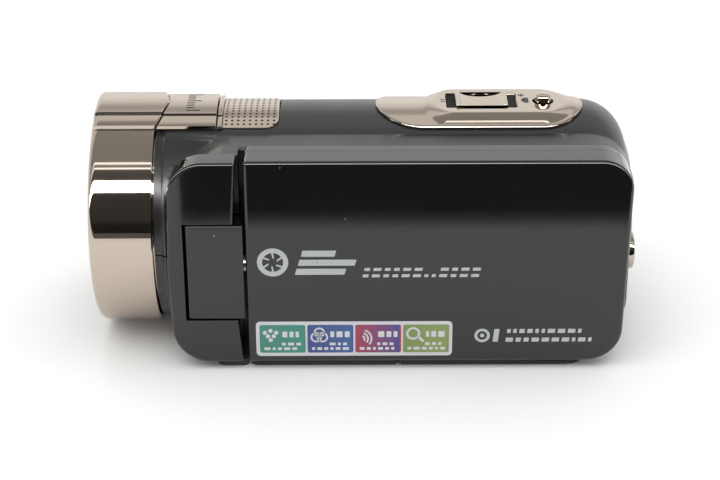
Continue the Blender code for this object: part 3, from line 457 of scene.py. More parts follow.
def swept(profile, angles, closed=False, slant=None):
    """Profile of (x, r, brow share) swept round the lens axis through a list of angles.

    Points whose x is the slant value follow the slanting joint."""
    rings = []
    for degrees in angles:
        a = math.radians(degrees)
        rings.append([(x + (lean(degrees) if slant is not None and share
                            and abs(x - slant) < 0.5 * mm else 0.0),
                       lens_y + (r + share * brow(degrees)) * math.sin(a),
                       lens_z + (r + share * brow(degrees)) * math.cos(a))
                      for x, r, share in profile])
    if closed:
        rings.append(rings[0])
    return skin(rings, caps=not closed)


def brow_angles(end, step=1.5):
    """Angles from -end to end, with extra ones where the brow's steps begin and stop."""
    count = round(2 * end / step)
    angles = [-end + 2 * end * k / count for k in range(count + 1)]
    for edge, level in brow_shape[1:-1]:
        if edge < end:
            angles += [side * (edge + nudge) for side in (-1, 1) for nudge in (-0.2, 0, 0.2)]
    return sorted(set(round(a, 4) for a in angles))


bore = 22.4 * mm
spigot = body_r - wall - clearance
ring_profile = [(ring_front + 2.6 * mm, bore, 0), (ring_front + 0.9 * mm, bore + 0.5 * mm, 0)]
ring_profile += [(x, r, 0) for x, r in arc(ring_front + 1.0 * mm, bore + 1.6 * mm, 1.0 * mm,
                                           250, 190, 5)]
ring_profile += [(x, r, min(1.0, max(0.0, (r - ring_r + 1.6 * mm) / (1.2 * mm))))
                 for x, r in arc(ring_front + 1.7 * mm, ring_r - 1.7 * mm, 1.7 * mm, 180, 90, 10)]
ring_profile += [(ring_rear - 0.35 * mm, ring_r, 1), (ring_rear - 0.1 * mm, ring_r - 0.1 * mm, 1),
                 (ring_rear, ring_r - 0.35 * mm, 1), (ring_rear + 0.01 * mm, body_r + 0.2 * mm, 1),
                 (ring_rear, spigot, 0), (ring_rear + 2.5 * mm, spigot, 0),
                 (ring_rear + 2.5 * mm, bore, 0)]
around = brow_angles(30, 1.0) + [30 + 300 * k / 200 for k in range(1, 200)]
ring_profile = [(x, r, share * ring_crown) for x, r, share in ring_profile]
ring = piece("lens_ring_plated", swept(ring_profile, around, True, ring_rear), black_nickel, 25)
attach(ring, "camera_body")
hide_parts("lens_ring")

# ------------------------------------------------------------------ brow plate
# Plated moulding that carries the ring's brow back over the case, with a raised bead at
# its rear edge. A fine line and a short row of ticks are engraved and filled with black.

plate_low, plate_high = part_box("brow_plate")
inner_r = body_r + 0.3 * mm
bead_x = plate_high.x - 1.2 * mm


def rimmed(x0, x1, base, top, soft, share=1.0):
    """Closed profile of a thin plate with softened upper edges."""
    return [(x0, base, 0.01), (x0, top - soft, share), (x0 + 0.3 * soft, top - 0.3 * soft, share),
            (x0 + soft, top, share), (x1 - soft, top, share),
            (x1 - 0.3 * soft, top - 0.3 * soft, share), (x1, top - soft, share), (x1, base, 0)]


for name, x0, x1, top, share in (("brow_plate_plated", plate_low.x - 0.3 * mm,
                                  bead_x - 0.1 * mm, ring_r, 1.0),
                                 ("brow_bead", bead_x + 0.1 * mm, plate_high.x,
                                  ring_r - 0.1 * mm, 0.78)):
    strip = piece(name, swept(rimmed(x0, x1, inner_r, top, 0.25 * mm, share),
                              brow_angles(21.7, 1.0), slant=plate_low.x - 0.18 * mm),
                  black_nickel, 25)
    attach(strip, "camera_body")
    if name == "brow_plate_plated":
        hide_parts("brow_plate")

ink_black, shader = new_finish("engraving_fill", Base_Color=(0.01, 0.01, 0.01, 1), Roughness=0.5)
place = add_node(ink_black, "ShaderNodeTexCoord")
uneven(ink_black, shader, place, 400.0, 0.4, 0.6, 3000.0, 0.05)


def on_brow(bm):
    """Lay a flat bmesh drawn in x and y on the top of the brow."""
    for vert in bm.verts:
        reach = ring_r + brow_rise + 0.015 * mm
        across = vert.co.y - lens_y
        vert.co.z += lens_z + math.sqrt(reach ** 2 - across ** 2)
    return bm


def merged(shapes):
    """Several bmeshes in one."""
    whole = bmesh.new()
    for bm in shapes:
        part = bpy.data.meshes.new("part")
        bm.to_mesh(part)
        bm.free()
        whole.from_mesh(part)
        bpy.data.meshes.remove(part)
    return whole


marks = [slab(box_outline(plate_low.x + 5.0 * mm, lens_y - 4.9 * mm, plate_low.x + 5.2 * mm,
                          lens_y + 4.9 * mm, 0.09 * mm, 2), 'Z', 0, 0.02 * mm)]
for k in range(9):
    length = (3.2 if k % 4 == 0 else 1.8) * mm
    y = lens_y + (k - 4) * 1.2 * mm
    marks.append(slab(box_outline(plate_low.x + 6.3 * mm, y - 0.17 * mm,
                                  plate_low.x + 6.3 * mm + length, y + 0.17 * mm, 0.1 * mm, 2),
                      'Z', 0, 0.02 * mm))
ticks = piece("brow_engraving", on_brow(merged(marks)), ink_black)
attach(ticks, "camera_body")

# ------------------------------------------------------------------ microphone grille
# Thin plated plate let flush into the roof, drilled with rows of small round holes over
# two microphones and a black acoustic cloth.

hole_pitch = 1.36 * mm
hole_columns, hole_rows = 9, 13
hole_r = 0.30 * mm


def hole_tree():
    """Geometry Nodes: a bent grid of points, and a drill on each point."""
    tree = bpy.data.node_groups.new("grille_holes", 'GeometryNodeTree')
    face = tree.interface
    face.new_socket("Geometry", in_out='INPUT', socket_type='NodeSocketGeometry')
    for title, kind in (("Pitch", 'NodeSocketFloat'), ("Columns", 'NodeSocketInt'),
                        ("Rows", 'NodeSocketInt'), ("Hole Radius", 'NodeSocketFloat'),
                        ("Roof Radius", 'NodeSocketFloat'), ("Centre", 'NodeSocketVector'),
                        ("Finish", 'NodeSocketMaterial')):
        face.new_socket(title, in_out='INPUT', socket_type=kind)
    face.new_socket("Geometry", in_out='OUTPUT', socket_type='NodeSocketGeometry')
    start = tree.nodes.new("NodeGroupInput")
    end = tree.nodes.new("NodeGroupOutput")
    link = tree.links.new

    def math_node(operation, a, b=None):
        node = tree.nodes.new("ShaderNodeMath")
        node.operation = operation
        for index, value in enumerate((a, b)):
            if isinstance(value, bpy.types.NodeSocket):
                link(value, node.inputs[index])
            elif value is not None:
                node.inputs[index].default_value = value
        return node.outputs[0]

    grid = tree.nodes.new("GeometryNodeMeshGrid")
    for size, count, side in (("Size X", "Vertices X", "Columns"),
                              ("Size Y", "Vertices Y", "Rows")):
        gaps = math_node('SUBTRACT', start.outputs[side], 1.0)
        link(math_node('MULTIPLY', gaps, start.outputs["Pitch"]), grid.inputs[size])
        link(start.outputs[side], grid.inputs[count])
    position = tree.nodes.new("GeometryNodeInputPosition")
    split = tree.nodes.new("ShaderNodeSeparateXYZ")
    link(position.outputs[0], split.inputs[0])
    turn = math_node('DIVIDE', split.outputs["Y"], start.outputs["Roof Radius"])
    bent = tree.nodes.new("ShaderNodeCombineXYZ")
    link(split.outputs["X"], bent.inputs["X"])
    link(math_node('MULTIPLY', math_node('SINE', turn), start.outputs["Roof Radius"]),
         bent.inputs["Y"])
    link(math_node('MULTIPLY', math_node('COSINE', turn), start.outputs["Roof Radius"]),
         bent.inputs["Z"])
    shift = tree.nodes.new("ShaderNodeVectorMath")
    link(bent.outputs[0], shift.inputs[0])
    link(start.outputs["Centre"], shift.inputs[1])
    lay = tree.nodes.new("GeometryNodeSetPosition")
    link(grid.outputs["Mesh"], lay.inputs["Geometry"])
    link(shift.outputs[0], lay.inputs["Position"])
    tilt = tree.nodes.new("ShaderNodeCombineXYZ")
    link(math_node('MULTIPLY', turn, -1.0), tilt.inputs["X"])
    drill = tree.nodes.new("GeometryNodeMeshCylinder")
    drill.inputs["Vertices"].default_value = 12
    drill.inputs["Depth"].default_value = 3 * mm
    link(start.outputs["Hole Radius"], drill.inputs["Radius"])
    store = tree.nodes.new("GeometryNodeStoreNamedAttribute")
    store.data_type = 'FLOAT_VECTOR'
    store.domain = 'POINT'
    store.inputs["Name"].default_value = "tilt"
    link(grid.outputs["Mesh"], store.inputs["Geometry"])
    link(tilt.outputs[0], store.inputs["Value"])
    link(store.outputs["Geometry"], lay.inputs["Geometry"])
    named = tree.nodes.new("GeometryNodeInputNamedAttribute")
    named.data_type = 'FLOAT_VECTOR'
    named.inputs["Name"].default_value = "tilt"
    repeat = tree.nodes.new("GeometryNodeInstanceOnPoints")
    link(lay.outputs["Geometry"], repeat.inputs["Points"])
    link(drill.outputs["Mesh"], repeat.inputs["Instance"])
    link(named.outputs["Attribute"], repeat.inputs["Rotation"])
    solid = tree.nodes.new("GeometryNodeRealizeInstances")
    link(repeat.outputs["Instances"], solid.inputs[0])
    paint = tree.nodes.new("GeometryNodeSetMaterial")
    link(solid.outputs[0], paint.inputs["Geometry"])
    link(start.outputs["Finish"], paint.inputs["Material"])
    link(paint.outputs[0], end.inputs[0])
    return tree


def grown_by_nodes(name, tree, values, base=None):
    """Run a node tree on an object with named inputs and keep the result as a plain mesh."""
    mesh = base or bpy.data.meshes.new(name)
    obj = bpy.data.objects.new(name, mesh)
    bpy.context.scene.collection.objects.link(obj)
    modifier = obj.modifiers.new(tree.name, 'NODES')
    modifier.node_group = tree
    sockets = {item.name: item.identifier for item in tree.interface.items_tree
               if item.in_out == 'INPUT'}
    for title, value in values.items():
        modifier[sockets[title]] = value
    graph = bpy.context.evaluated_depsgraph_get()
    result = bpy.data.meshes.new_from_object(obj.evaluated_get(graph))
    obj.modifiers.clear()
    obj.data = result
    return obj


grille_top = grille_high.z - lens_z
grille_front = plate_high.x + 0.06 * mm
grille = piece("mic_grille_plate", turned([
    (grille_front, body_r - 0.8 * mm), (grille_front, grille_top - 0.1 * mm),
    (grille_front + 0.1 * mm, grille_top), (grille_high.x - 0.2 * mm, grille_top),
    (grille_high.x, grille_top - 0.2 * mm), (grille_high.x, body_r - 0.8 * mm)], steps=256),
    black_nickel)
carve(grille, slab(roof_outline(grille_low.x - mm, grille_high.x, 20.9, 3.0 * mm), 'Z',
                   lens_z, lens_z + 40 * mm), operation='INTERSECT')
drills = grown_by_nodes("grille_drills", hole_tree(), {
    "Pitch": hole_pitch, "Columns": hole_columns, "Rows": hole_rows, "Hole Radius": hole_r,
    "Roof Radius": grille_top, "Finish": black_nickel,
    "Centre": ((grille_low.x + grille_high.x) / 2 - 0.2 * mm, lens_y, lens_z)})
carve(grille, as_tool(drills))
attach(grille, "camera_body")
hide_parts("mic_grille")

# ------------------------------------------------------------------ gloss covers
# Piano-black ABS, polished in the mould: the cheek in front of the lid, the small cover
# of the hinge block, and the lid's outer shell. The cheek's rear edge leans away from
# the lid, which leaves a dark wedge above and below the hinge.

gloss_black, shader = new_finish("piano_black_abs", Coat_Weight=0.35, Coat_Roughness=0.02)
place = speckle(gloss_black, shader, (0.0065, 0.0065, 0.007, 1), (0.55, 0.55, 0.54, 1),
                210.0, 0.03)
uneven(gloss_black, shader, place, 45.0, 0.045, 0.085, 1400.0, 0.012)

lid_low, lid_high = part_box("lcd_back")
cheek_outline = rounded([
    (block_low.x, 26 * mm, 20 * mm), (block_low.x + 0.9 * mm, floor_z, 8.5 * mm),
    (block_high.x, floor_z, 0.8 * mm), (block_high.x - 1.0 * mm, hinge_low.z - 0.3 * mm, 0),
    (block_high.x - 1.5 * mm, hinge_high.z + 0.3 * mm, 0),
    (block_high.x - 0.7 * mm, block_high.z, 0.8 * mm),
    (block_low.x + 1.0 * mm, block_high.z, 8.0 * mm)], 12)
cheek = piece("cheek_gloss", slab(cheek_outline, 'Y', block_low.y, block_high.y, 0.75 * mm,
                                  0.2 * mm, 6), gloss_black)
carve(cheek, *hinge_room(), peg('Z', pin_x, pin_y, 1.1 * mm, 9.2 * mm, 40.8 * mm, 24), sharp=28)
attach(cheek, "camera_body")
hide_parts("cheek_cover")

cap_outline = rounded([(hinge_low.x, hinge_low.y, 0.8 * mm), (hinge_high.x, hinge_low.y, 0.3 * mm),
                       (hinge_high.x, hinge_high.y, 0.3 * mm),
                       (hinge_low.x, hinge_high.y - 2 * mm, mm)], 6)
cap = piece("hinge_cap_gloss", slab(cap_outline, 'Z', hinge_low.z, hinge_high.z, 0.3 * mm,
                                    0.3 * mm), gloss_black)
shaft_low, shaft_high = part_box("swivel_shaft")
shaft_y, shaft_z = (shaft_low.y + shaft_high.y) / 2, (shaft_low.z + shaft_high.z) / 2
carve(cap, block((hinge_low.x + 0.75 * mm, hinge_low.y + 0.95 * mm, hinge_low.z + mm),
                 (hinge_high.x - mm, hinge_high.y + 3 * mm, hinge_high.z - mm)),
      peg('Z', pin_x, pin_y, 1.1 * mm, 5 * mm, 45 * mm, 24),
      peg('X', shaft_y, shaft_z, 2.5 * mm, hinge_high.x - 2 * mm, hinge_high.x + 2 * mm, 32))
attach(cap, "lid")
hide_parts("hinge_cover")

lid_top_z, lid_bottom_z = lid_high.z, lid_low.z


def lid_outline(shrink, steps=14):
    return rounded([
        (lid_low.x + shrink, lid_bottom_z + shrink, 1.1 * mm),
        (lid_high.x - 0.7 * mm - shrink, lid_bottom_z + shrink, 8.0 * mm - shrink),
        (lid_high.x + 0.1 * mm - shrink, lid_top_z - shrink, 7.2 * mm - shrink),
        (lid_low.x + shrink, lid_top_z - shrink, 1.1 * mm)], steps)


shell = piece("lid_shell_gloss", slab(lid_outline(0.0), 'Y', lid_low.y, lid_high.y + 0.22 * mm,
                                      0.95 * mm, 0.05 * mm, 7), gloss_black)
lid_hollow = (lid_outline(1.5 * mm), 'Y', lid_low.y + 1.6 * mm, lid_low.y + 8.2 * mm)
shaft_room = ('X', shaft_y, shaft_z, 2.3 * mm, lid_low.x - 2 * mm, -18 * mm, 32)
carve(shell, slab(*lid_hollow), peg(*shaft_room), sharp=28)
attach(shell, "lid")
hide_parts("lcd_back")

# ------------------------------------------------------------------ lid marks
# Silver pad-printed marks on the lid: an iris ring with slanted bars, a row of ticks
# and two short rows of dashes. They are plain shapes, with no lettering.

silver_ink, shader = new_finish("silver_ink", Roughness=0.45, Metallic=0.15)
place = speckle(silver_ink, shader, (0.42, 0.44, 0.45, 1), (0.28, 0.29, 0.30, 1),
                900.0, 0.2)
uneven(silver_ink, shader, place, 300.0, 0.38, 0.55, 2500.0, 0.05)
print_y = lid_low.y - 0.02 * mm


def printed(outline, level=0.0):
    """A flat mark on the lid's face, drawn in x and z; the level lifts one over another."""
    y = print_y - level
    return slab(outline, 'Y', y, y + 0.015 * mm)


def slanted(x, z, width, height, lean=0.28):
    return rounded([(x, z, 0.12 * mm), (x + width, z, 0.12 * mm),
                    (x + width + lean * height, z + height, 0.12 * mm),
                    (x + lean * height, z + height, 0.12 * mm)], 3)


def circle(x, z, radius, steps=48):
    return [(x + radius * math.cos(2 * math.pi * k / steps),
             z + radius * math.sin(2 * math.pi * k / steps)) for k in range(steps)]


def ring_mark(x, z, outer, inner, level=0.0, steps=48):
    y = print_y - level
    rings = []
    for radius, w in ((outer, y), (outer, y + 0.015 * mm), (inner, y + 0.015 * mm), (inner, y)):
        rings.append([(u, w, v) for u, v in circle(x, z, radius, steps)])
    rings.append(rings[0])
    return skin(rings, caps=False)


shapes = [ring_mark(-21.2 * mm, 27.5 * mm, 3.5 * mm, 2.35 * mm)]
for k in range(6):
    turn = math.radians(60 * k + 12)
    reach = [(1.0, 0.0), (2.3, 0.55), (2.15, 1.0), (0.95, 0.3)]
    blade = [(-21.2 * mm + (u * math.cos(turn) - v * math.sin(turn)) * mm,
              27.5 * mm + (u * math.sin(turn) + v * math.cos(turn)) * mm) for u, v in reach]
    shapes.append(printed(blade))
for row, (start, stop) in enumerate(((-16.3, -5.2), (-15.6, -2.9), (-14.9, -7.4))):
    z = 24.4 + 2.25 * row
    shapes.append(printed(slanted(start * mm, z * mm, (stop - start) * mm, 1.5 * mm)))
random.seed(11)
x = -1.2
while x < 24.6:
    width = random.choice((0.9, 1.3, 1.8))
    shapes.append(printed(slanted(x * mm, 23.7 * mm, width * mm, 0.75 * mm, 0.2)))
    if width > 1.0:
        shapes.append(printed(slanted((x + 0.35) * mm, 25.3 * mm, width * mm, 0.75 * mm, 0.2)))
    x += width + 0.75
shapes.append(ring_mark(26.0 * mm, 8.75 * mm, 1.75 * mm, 1.1 * mm))
shapes.append(printed(circle(26.0 * mm, 8.75 * mm, 0.5 * mm, 24)))
shapes.append(printed(slanted(28.4 * mm, 7.1 * mm, 1.2 * mm, 3.3 * mm, 0.1)))
for z, start, stop in ((9.35, 31.6, 47.8), (7.1, 31.3, 51.0)):
    x = start
    while x < stop:
        width = random.choice((0.8, 1.2, 1.7))
        shapes.append(printed(slanted(x * mm, z * mm, width * mm, 1.05 * mm, 0.1)))
        x += width + 0.6
print_marks = piece("lid_print", merged(shapes), silver_ink)
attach(print_marks, "lid")

# ------------------------------------------------------------------ lid sticker
# A die-cut vinyl sticker with a white border and four coloured tiles, each with a small
# plain picture: dots, hills, ripples and a magnifier.

sticker_x0, sticker_x1 = -25.4 * mm, 19.2 * mm
sticker_z0, sticker_z1 = 3.6 * mm, 12.5 * mm


def vinyl(name, left, right):
    """Printed vinyl whose colour runs from one hue to another across the tile."""
    material, shader = new_finish(name, Roughness=0.22, Coat_Weight=0.4, Coat_Roughness=0.08)
    place = add_node(material, "ShaderNodeTexCoord")
    split = add_node(material, "ShaderNodeSeparateXYZ", {"Vector": place.outputs["Object"]})
    cycle = add_node(material, "ShaderNodeMath",
                     {0: split.outputs["X"], 1: -sticker_x0}, operation='ADD')
    run = add_node(material, "ShaderNodeMath", {0: cycle.outputs[0], 1: tile_step},
                   operation='MODULO')
    share = add_node(material, "ShaderNodeMapRange",
                     {"Value": run.outputs[0], "From Min": 0.8 * mm, "From Max": tile_step})
    mix = add_node(material, "ShaderNodeMix",
                   {"Factor": share.outputs["Result"], "A": left, "B": right}, data_type='RGBA')
    material.node_tree.links.new(mix.outputs["Result"], shader.inputs["Base Color"])
    grain = add_node(material, "ShaderNodeTexNoise",
                     {"Vector": place.outputs["Object"], "Scale": 3500.0})
    relief = add_node(material, "ShaderNodeBump", {"Height": grain.outputs["Fac"],
                                                   "Strength": 0.05, "Distance": 0.00001})
    material.node_tree.links.new(relief.outputs["Normal"], shader.inputs["Normal"])
    return material


tile_step = (sticker_x1 - sticker_x0 - 1.1 * mm) / 4
tile_gap = 0.45 * mm
white_vinyl = vinyl("white_vinyl", (0.52, 0.52, 0.55, 1), (0.54, 0.54, 0.56, 1))
tile_colours = (("teal_vinyl", (0.035, 0.19, 0.13, 1), (0.03, 0.21, 0.17, 1)),
                ("blue_vinyl", (0.03, 0.05, 0.20, 1), (0.03, 0.09, 0.25, 1)),
                ("violet_vinyl", (0.30, 0.03, 0.06, 1), (0.05, 0.04, 0.20, 1)),
                ("lime_vinyl", (0.16, 0.22, 0.06, 1), (0.20, 0.27, 0.08, 1)))


def stuck(name, shapes, material):
    obj = piece(name, merged(shapes), material)
    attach(obj, "lid")
    return obj


sheet_outline = box_outline(sticker_x0, sticker_z0, sticker_x1, sticker_z1, 1.0 * mm)
stuck("sticker_border", [printed(sheet_outline, 0.01 * mm)], white_vinyl)
pictures = []
for k, (name, left, right) in enumerate(tile_colours):
    x0 = sticker_x0 + 0.8 * mm + k * tile_step
    x1 = x0 + tile_step - tile_gap
    z0, z1 = sticker_z0 + 0.85 * mm, sticker_z1 - 0.85 * mm
    stuck("sticker_tile_" + name.split("_")[0],
          [printed(box_outline(x0, z0, x1, z1, 0.5 * mm), 0.03 * mm)], vinyl(name, left, right))
    if k == 0:
        for u, v in ((1.2, 5.2), (2.5, 5.7), (3.8, 5.2), (1.9, 4.3), (3.2, 4.3), (2.5, 3.3)):
            pictures.append(printed(circle(x0 + u * mm, z0 + v * mm, 0.5 * mm, 20), 0.05 * mm))
    if k == 1:
        for u, v, r in ((2.0, 4.0, 1.3), (3.4, 4.0, 1.3), (2.7, 5.2, 1.3)):
            pictures.append(ring_mark(x0 + u * mm, z0 + v * mm, r * mm, (r - 0.4) * mm,
                                      0.05 * mm, 32))
    if k == 2:
        for r in (0.9, 1.7, 2.5):
            bend = arc(x0 + 1.4 * mm, z0 + 3.6 * mm, r * mm, -40, 70, 10)
            bend += arc(x0 + 1.4 * mm, z0 + 3.6 * mm, (r - 0.4) * mm, 70, -40, 10)
            pictures.append(printed(bend, 0.05 * mm))
    if k == 3:
        pictures.append(ring_mark(x0 + 2.3 * mm, z0 + 4.9 * mm, 1.6 * mm, 1.1 * mm, 0.05 * mm, 32))
        handle = [(3.2, 3.9), (3.7, 4.3), (4.9, 3.0), (4.4, 2.6)]
        pictures.append(printed([(x0 + u * mm, z0 + v * mm) for u, v in handle], 0.05 * mm))
    for row, (v, height, begin) in enumerate(((4.0, 1.5, 5.2), (1.9, 0.7, 5.0), (0.7, 0.7, 1.0))):
        u = begin
        while u < 9.0:
            width = (0.7, 1.1, 0.9, 1.4)[(k + row + int(u)) % 4]
            pictures.append(printed(box_outline(x0 + u * mm, z0 + v * mm, x0 + (u + width) * mm,
                                                z0 + (v + height) * mm, 0.15 * mm, 2), 0.05 * mm))
            u += width + 0.5
stuck("sticker_pictures", pictures, white_vinyl)

# ------------------------------------------------------------------ lid screen side
# Inner half of the lid: a gloss bezel round a 3 inch display behind a cover glass.

bezel_low, bezel_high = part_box("lcd_bezel")
glass_low, glass_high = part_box("lcd_window")
bezel = piece("lid_bezel_gloss", slab(lid_outline(0.0), 'Y', bezel_low.y, bezel_high.y,
                                      0.05 * mm, 0.5 * mm), gloss_black)
carve(bezel, slab(*lid_hollow),
      slab(box_outline(glass_low.x - clearance, glass_low.z - clearance,
                       glass_high.x + clearance, glass_high.z + clearance, 0.8 * mm),
           'Y', bezel_low.y - 2 * mm, bezel_high.y + 4 * mm),
      peg(*shaft_room), sharp=28)
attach(bezel, "lid")
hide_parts("lcd_bezel")

cover_glass, shader = new_finish("cover_glass", Transmission_Weight=1.0, IOR=1.5,
                                 Base_Color=(0.86, 0.9, 0.92, 1), Roughness=0.015,
                                 Coat_Weight=0.5, Coat_Tint=(0.75, 0.7, 1.0, 1))
place = add_node(cover_glass, "ShaderNodeTexCoord")
smear = add_node(cover_glass, "ShaderNodeTexNoise",
                 {"Vector": place.outputs["Object"], "Scale": 40.0, "Detail": 4.0})
spread = add_node(cover_glass, "ShaderNodeMapRange", {"Value": smear.outputs["Fac"],
                                                      "To Min": 0.0, "To Max": 0.05})
cover_glass.node_tree.links.new(spread.outputs["Result"], shader.inputs["Roughness"])
glass = piece("screen_cover_glass", slab(box_outline(glass_low.x, glass_low.z, glass_high.x,
                                                     glass_high.z, 0.6 * mm), 'Y', glass_low.y,
                                         glass_high.y, 0.1 * mm, 0.15 * mm), cover_glass)
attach(glass, "lid")
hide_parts("lcd_window")

display_off, shader = new_finish("display_off", Base_Color=(0.012, 0.013, 0.017, 1),
                                 Roughness=0.18, Sheen_Weight=0.1)
place = add_node(display_off, "ShaderNodeTexCoord")
cells = add_node(display_off, "ShaderNodeTexBrick",
                 {"Vector": place.outputs["Object"], "Scale": 6000.0, "Mortar Size": 0.05,
                  "Color1": (0.012, 0.012, 0.018, 1), "Color2": (0.016, 0.016, 0.02, 1),
                  "Mortar": (0.004, 0.004, 0.005, 1)})
display_off.node_tree.links.new(cells.outputs["Color"], shader.inputs["Base Color"])
uneven(display_off, shader, place, 60.0, 0.14, 0.24, 3000.0, 0.02)

# ------------------------------------------------------------------ top control panel
# Almond-shaped plated plate on the roof with a raised plateau, from which long chamfers
# fall to a thin lip. The zoom slider runs in a shallow well, and the picture button
# stands in a round hole. Small filled pictograms mark both.

panel_low, panel_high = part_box("control_panel")
panel_y = (panel_low.y + panel_high.y) / 2
plateau_z = panel_high.z


def almond(half, front, rear, flat_front_x, flat_rear_x, steps=14):
    """Straight sides between two long rounded ends, drawn counter-clockwise."""
    points = []
    for k in range(steps):
        a = math.pi / 2 * k / steps
        points.append((flat_rear_x + (rear - flat_rear_x) * math.sin(a), -half * math.cos(a)))
    right = points + [(rear, 0.0)] + [(x, -y) for x, y in reversed(points)]
    points = []
    for k in range(steps):
        a = math.pi / 2 * k / steps
        points.append((flat_front_x + (front - flat_front_x) * math.sin(a), half * math.cos(a)))
    left = points + [(front, 0.0)] + [(x, -y) for x, y in reversed(points)]
    return [(x, panel_y + y) for x, y in right + left]


def roof(point, lift):
    x, y = point
    return (x, y, lens_z + math.sqrt((body_r + lift) ** 2 - (y - lens_y) ** 2))


def between(first, second, share):
    return tuple(a + (b - a) * share for a, b in zip(first, second))


edge = almond(10.5 * mm, panel_low.x, panel_high.x, 13.0 * mm, 40.0 * mm)
foot = almond(9.7 * mm, 12.8 * mm, panel_high.x - 1.2 * mm, 17.6 * mm, 40.0 * mm)
crest = almond(7.2 * mm, 16.0 * mm, panel_high.x - 4.4 * mm, 19.6 * mm, 40.0 * mm)
lip_ring = inset(edge, 0.3 * mm)
rings = [[roof(p, 0.3 * mm) for p in edge], [roof(p, 0.6 * mm) for p in edge],
         [roof(p, 0.72 * mm) for p in inset(edge, 0.1 * mm)],
         [roof(p, 0.75 * mm) for p in lip_ring]]
for share in (0.25, 0.5, 0.75, 0.97):
    rings.append([roof(between(a, b, share), 0.75 * mm) for a, b in zip(lip_ring, foot)])
foot_ring = [roof(p, 0.75 * mm) for p in foot]
crest_ring = [(x, y, plateau_z) for x, y in crest]
for share in (0.04, 0.2, 0.35, 0.5, 0.65, 0.8, 0.95):
    bulge = 0.75 * mm * share * (1 - share)
    rings.append([tuple(c + d for c, d in zip(between(a, b, share), (0, 0, bulge)))
                  for a, b in zip(foot_ring, crest_ring)])
inner_crest = [(x, y, plateau_z) for x, y in inset(crest, 0.2 * mm)]
rings.append([between(a, b, 0.5) for a, b in zip(crest_ring, inner_crest)])
rings.append(inner_crest)
bottom_rings = [[roof(between(p, (p[0], panel_y), share), 0.3 * mm) for p in edge]
                for share in (0.999, 0.66, 0.33, 0.0)]
panel_bm = skin(bottom_rings[:-1] + rings)
panel = piece("control_panel_plated", panel_bm, black_nickel, 40)
well = box_outline(lever_low.x - 2.25 * mm, lever_low.y - 0.35 * mm,
                   lever_high.x + 2.25 * mm, lever_high.y + 0.35 * mm, 0.55 * mm)
carve(panel, slab(well, 'Z', plateau_z - 0.6 * mm, plateau_z + 4 * mm),
      block((lever_x - 4.8 * mm, panel_y - 2.6 * mm, 45 * mm),
            (lever_x + 4.8 * mm, panel_y + 2.6 * mm, 58 * mm)),
      peg('Z', photo_x, photo_y, 2.45 * mm, 45 * mm, 60 * mm, 48), sharp=40)
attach(panel, "camera_body")
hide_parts("control_panel")
# The floor of the slider's well is a thin liner, darker and far less glossy than the satin case:
# painted shade for the dark gaps beside the slider.
well_black, shader = new_finish("well_black", Specular_IOR_Level=0.1)
place = speckle(well_black, shader, (0.006, 0.006, 0.006, 1), (0.2, 0.2, 0.2, 1),
                900.0, 0.04)
uneven(well_black, shader, place, 60.0, 0.5, 0.6, 5000.0, 0.1)
liner = piece("slider_well_liner", slab(inset(well, 0.1 * mm), 'Z', plateau_z - 0.58 * mm,
                                        plateau_z - 0.5 * mm), well_black)
carve(liner, block((lever_x - 4.8 * mm, panel_y - 2.6 * mm, 45 * mm),
                   (lever_x + 4.8 * mm, panel_y + 2.6 * mm, 58 * mm)))
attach(liner, "camera_body")

pictograms = []


def flat_mark(outline):
    pictograms.append(slab(outline, 'Z', plateau_z + 0.01 * mm, plateau_z + 0.03 * mm))


for k in (-1, 1):
    flat_mark(box_outline(17.0 * mm, panel_y + (k * 0.55 - 0.17) * mm, 18.0 * mm,
                          panel_y + (k * 0.55 + 0.17) * mm, 0.1 * mm, 2))
for size, x in ((0.55, 35.1), (0.95, 35.6)):
    flat_mark([(x * mm, panel_y + (3.2 - size) * mm), ((x + size) * mm, panel_y + 3.2 * mm),
               (x * mm, panel_y + (3.2 + size) * mm)])
flat_mark(box_outline(36.0 * mm, panel_y - 1.5 * mm, 37.3 * mm, panel_y + 1.5 * mm, 0.3 * mm, 3))
flat_mark(box_outline(35.6 * mm, panel_y - 0.5 * mm, 36.2 * mm, panel_y + 0.6 * mm, 0.1 * mm, 2))
top_marks = piece("panel_pictograms", merged(pictograms), ink_black)
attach(top_marks, "camera_body")

# ------------------------------------------------------------------ zoom slider
# Plated saddle with a raised rim at each end, so a fingertip can push it to and fro.

saddle_top = lever_high.z - 0.4 * mm
rim, dip = 1.0 * mm, 0.85 * mm
span = (lever_high.x - lever_low.x) / 2 - rim
saddle_base = plateau_z - 0.4 * mm
saddle = [(lever_low.x, saddle_base), (lever_high.x, saddle_base),
          (lever_high.x, saddle_top - 0.35 * mm)]
saddle += arc(lever_high.x - 0.35 * mm, saddle_top - 0.35 * mm, 0.35 * mm, 10, 90, 4)
saddle += [(lever_x + span * math.cos(a), saddle_top - dip * math.sin(a) ** 0.8)
           for a in (math.pi * k / 16 for k in range(17))]
saddle += arc(lever_low.x + 0.35 * mm, saddle_top - 0.35 * mm, 0.35 * mm, 90, 170, 4)
slider = piece("zoom_slider_plated", slab(saddle, 'Y', lever_low.y, lever_high.y, 0.3 * mm,
                                          0.3 * mm, 3), black_nickel, 38)
carve(slider, slab(box_outline(lever_x - 2.2 * mm, lever_y - 2.2 * mm, lever_x + 2.2 * mm,
                               lever_y + 2.2 * mm, 0.4 * mm), 'Z', lever_low.z,
                   saddle_base + 0.1 * mm), operation='UNION', sharp=38)
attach(slider, "zoom_lever_part")
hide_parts("zoom_lever")

# ------------------------------------------------------------------ picture button
# Turned and plated pin with a domed top.

button_r = (photo_high.x - photo_low.x) / 2


